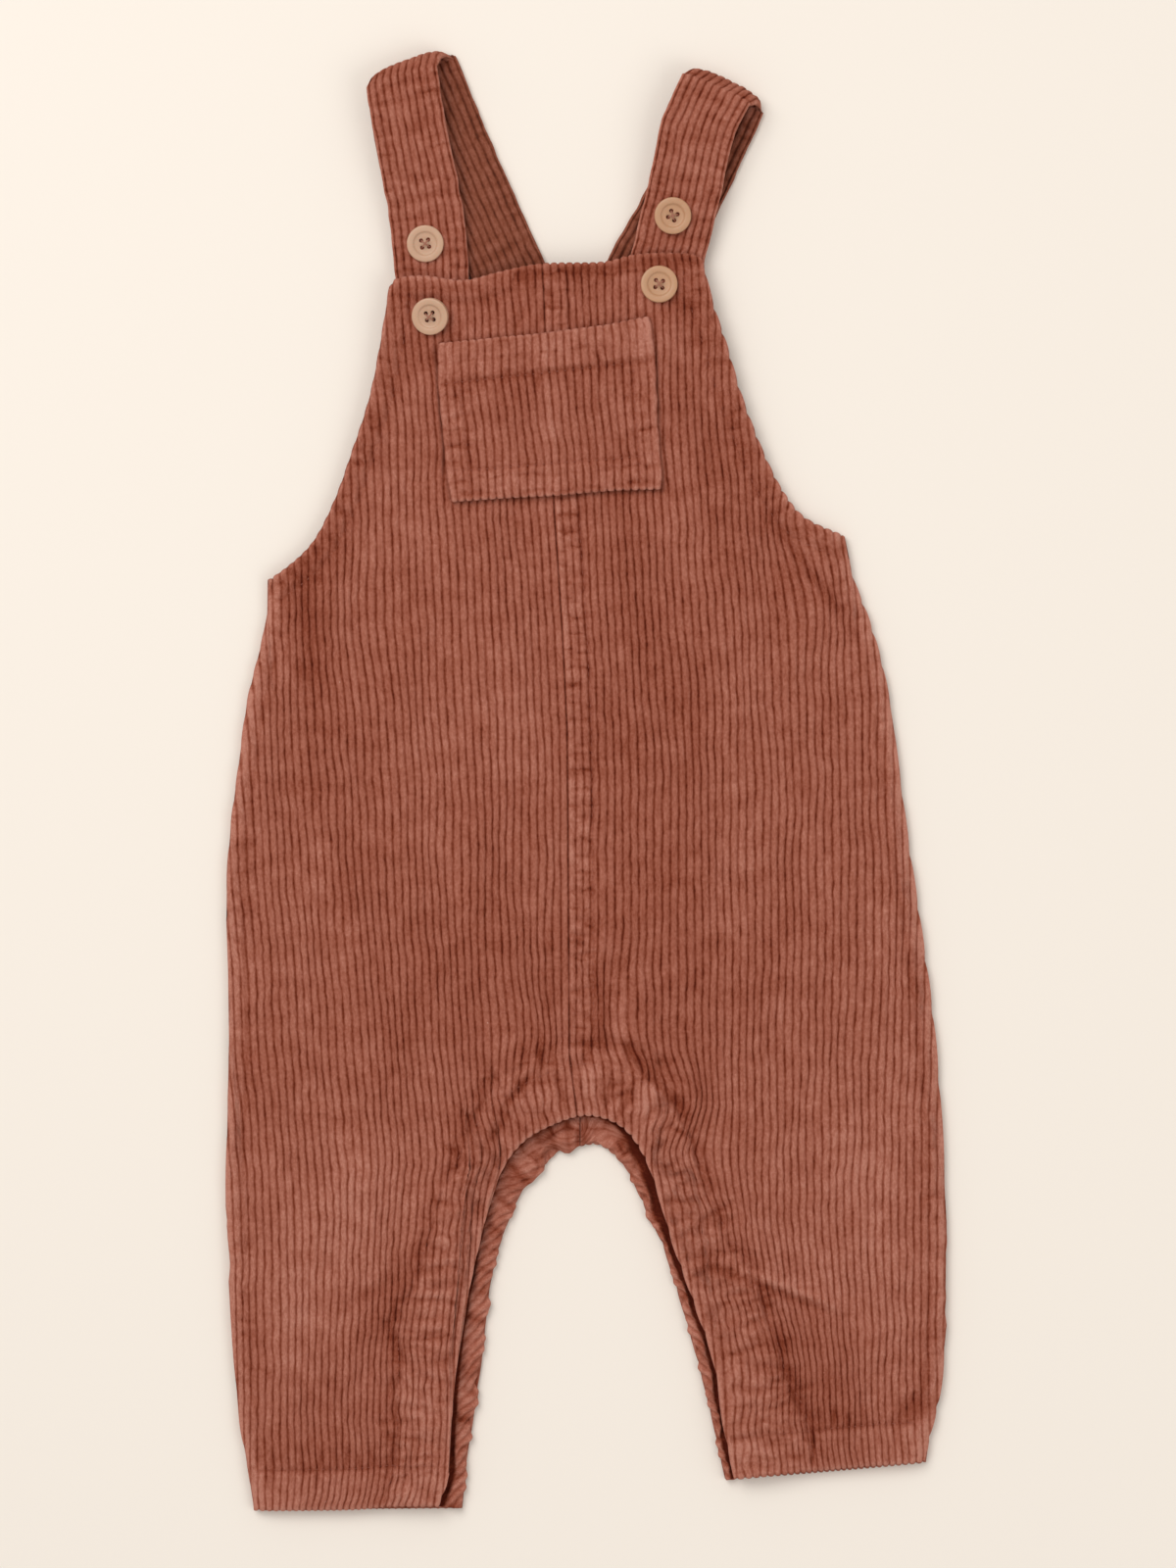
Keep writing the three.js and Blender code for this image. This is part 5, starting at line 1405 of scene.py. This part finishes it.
    pile = node(tree, "Math", {0: noise["tufts"], 1: 0.9, 2: noise["fibres"]}, operation="MULTIPLY_ADD")
    pile = node(tree, "Math", {0: dent, 1: -0.8, 2: pile}, operation="MULTIPLY_ADD")
    bump = node(tree, "Bump", {"Height": pile, "Strength": 0.6, "Distance": 0.5 * MM})
    skin = node(tree, "BsdfPrincipled", {
        "Base Color": colour, "Normal": bump, "Roughness": 0.94, "IOR": 1.45, "Specular IOR Level": 0.15,
        "Sheen Weight": 0.14, "Sheen Roughness": 0.45, "Sheen Tint": linear("#dc8f74"),
    })
    node(tree, "OutputMaterial", {"Surface": skin})
    return material


cloth = brushed_corduroy("brushed_cotton_corduroy", 0.612)
strap_cloth = brushed_corduroy("brushed_cotton_corduroy_straps", 0.615)
bias_cloth = brushed_corduroy("brushed_cotton_corduroy_bias", 0.64, 0.35)

# %% [markdown]
# ## Thread and resin
#
# The thread is spun polyester dyed with the cloth, which takes a little more shine. The
# buttons are polyester resin cast to look like horn or nut: a warm beige with a faint cloud
# in it, with one even polish all over.

# %% Thread and button materials
# the size of what each noise draws, in mm
PLY, CLOUD, GRIT = 0.4, 5, 0.4


def spun_thread(name, colour):
    material, tree = new_material(name)
    place = node(tree, "TexCoord").outputs["Object"]
    twist = node(tree, "TexNoise", {"Vector": place, "Scale": 1 / (PLY * MM), "Detail": 2.0})
    bump = node(tree, "Bump", {"Height": twist, "Strength": 0.5, "Distance": 0.1 * MM})
    skin = node(tree, "BsdfPrincipled", {"Base Color": linear(colour), "Normal": bump, "Roughness": 0.7})
    node(tree, "OutputMaterial", {"Surface": skin})
    return material


def cast_resin(name, colour, cloud):
    material, tree = new_material(name)
    place = node(tree, "TexCoord").outputs["Object"]
    drift = node(tree, "TexNoise", {"Vector": place, "Scale": 1 / (CLOUD * MM), "Detail": 4.0})
    shade = node(tree, "Mix", {0: drift, 6: linear(colour), 7: linear(cloud)}, data_type="RGBA")
    grit = node(tree, "TexNoise", {"Vector": place, "Scale": 1 / (GRIT * MM), "Detail": 2.0})
    bump = node(tree, "Bump", {"Height": grit, "Strength": 0.15, "Distance": 0.05 * MM})
    skin = node(tree, "BsdfPrincipled", {
        "Base Color": shade.outputs[2], "Normal": bump, "Roughness": 0.42, "IOR": 1.52,
        "Subsurface Weight": 0.08, "Subsurface Scale": 1.5 * MM,
    })
    node(tree, "OutputMaterial", {"Surface": skin})
    return material


tone_thread = spun_thread("spun_polyester_thread", "#8d4a38")
button_thread = spun_thread("spun_polyester_button_thread", "#a06a56")
pale_resin = cast_resin("cast_polyester_resin_pale", "#c8a48a", "#bd967a")
tan_resin = cast_resin("cast_polyester_resin_tan", "#c09472", "#b48866")

# %% [markdown]
# ## Materials and bodies
#
# The solids carry weight and collision. Each cloth piece stands for one of them, rides on the
# same body, and hides the solid that it replaces.

# %% Materials and bodies
def finish_piece(piece, material, replaced=None):
    piece.data.materials.clear()
    piece.data.materials.append(material)
    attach(piece, "root")
    if replaced:
        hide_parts(replaced)


FRONTS = {"left": front_left, "right": front_right}
BACKS = {"left": back_left, "right": back_right}
PLACKETS = {"left": placket_left, "right": placket_right}
STRAPS = {"left": strap_left, "right": strap_right}
for which in ("left", "right"):
    finish_piece(FRONTS[which], cloth, f"front_{which}")
    finish_piece(BACKS[which], cloth, f"back_{which}")
    finish_piece(PLACKETS[which], bias_cloth, f"placket_{which}")
    finish_piece(STRAPS[which], strap_cloth, f"strap_{which}")
finish_piece(pocket, cloth, "pocket")
finish_piece(front_stitching, tone_thread)
finish_piece(pocket_stitching, tone_thread)
for name in BUTTONS:
    finish_piece(buttons[name], pale_resin if "left" in name else tan_resin, name)
    finish_piece(threads[name], button_thread)


# %% [markdown]
# ## Paper, light and camera
#
# Small garments are photographed on cream paper under broad soft lights, looking straight
# down. A long lens keeps the outline true. The camera is placed so that a garment lying at
# the origin fills the frame as in a catalogue picture.

# %% The paper
deselect()
bpy.ops.mesh.primitive_plane_add(size=6, location=(0, 0, -0.0002))
floor = bpy.context.active_object
floor.name = "floor"
paper, paper_tree = new_material("uncoated_cream_paper")
paper_skin = node(paper_tree, "BsdfPrincipled", {"Base Color": linear("#f4eee6"), "Roughness": 0.95})
node(paper_tree, "OutputMaterial", {"Surface": paper_skin})
floor.data.materials.append(paper)
floor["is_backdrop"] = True

# %% The lights
def soft_light(name, place, size, power, colour):
    light = bpy.data.lights.new(name, "AREA")
    light.shape = "SQUARE"
    light.size = size
    light.energy = power
    light.color = linear(colour)[:3]
    holder = bpy.data.objects.new(name, light)
    holder.location = place
    holder.rotation_euler = (Vector((0, 0, 0)) - Vector(place)).to_track_quat("-Z", "Y").to_euler()
    bpy.context.scene.collection.objects.link(holder)


soft_light("window_side", (-0.9, 1.0, 1.9), 1.6, 30, "#fffaf6")
soft_light("fill_side", (1.3, -0.7, 1.6), 1.4, 9, "#fffaf6")
world = bpy.data.worlds.new("studio")
world.use_nodes = True
world.node_tree.nodes["Background"].inputs["Color"].default_value = linear("#fffbf5")
world.node_tree.nodes["Background"].inputs["Strength"].default_value = 0.52
bpy.context.scene.world = world
bpy.context.scene.view_settings.view_transform = "Standard"

# %% The camera
FRAME_TALL, LENS, SENSOR = 0.640, 120.0, 36.0
AIM = (0.0006, -0.0018, 0.006)
camera_data = bpy.data.cameras.new("camera")
camera_data.lens = LENS
camera_data.sensor_width = SENSOR
camera_data.clip_end = 20
camera = bpy.data.objects.new("camera", camera_data)
camera.location = (AIM[0], AIM[1], AIM[2] + LENS / SENSOR * FRAME_TALL)
bpy.context.scene.collection.objects.link(camera)
bpy.context.scene.camera = camera

# %% The finished box
SEEN_BOX = [list(corner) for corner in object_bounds()]
print("the finished piece's box in metres:", SEEN_BOX)
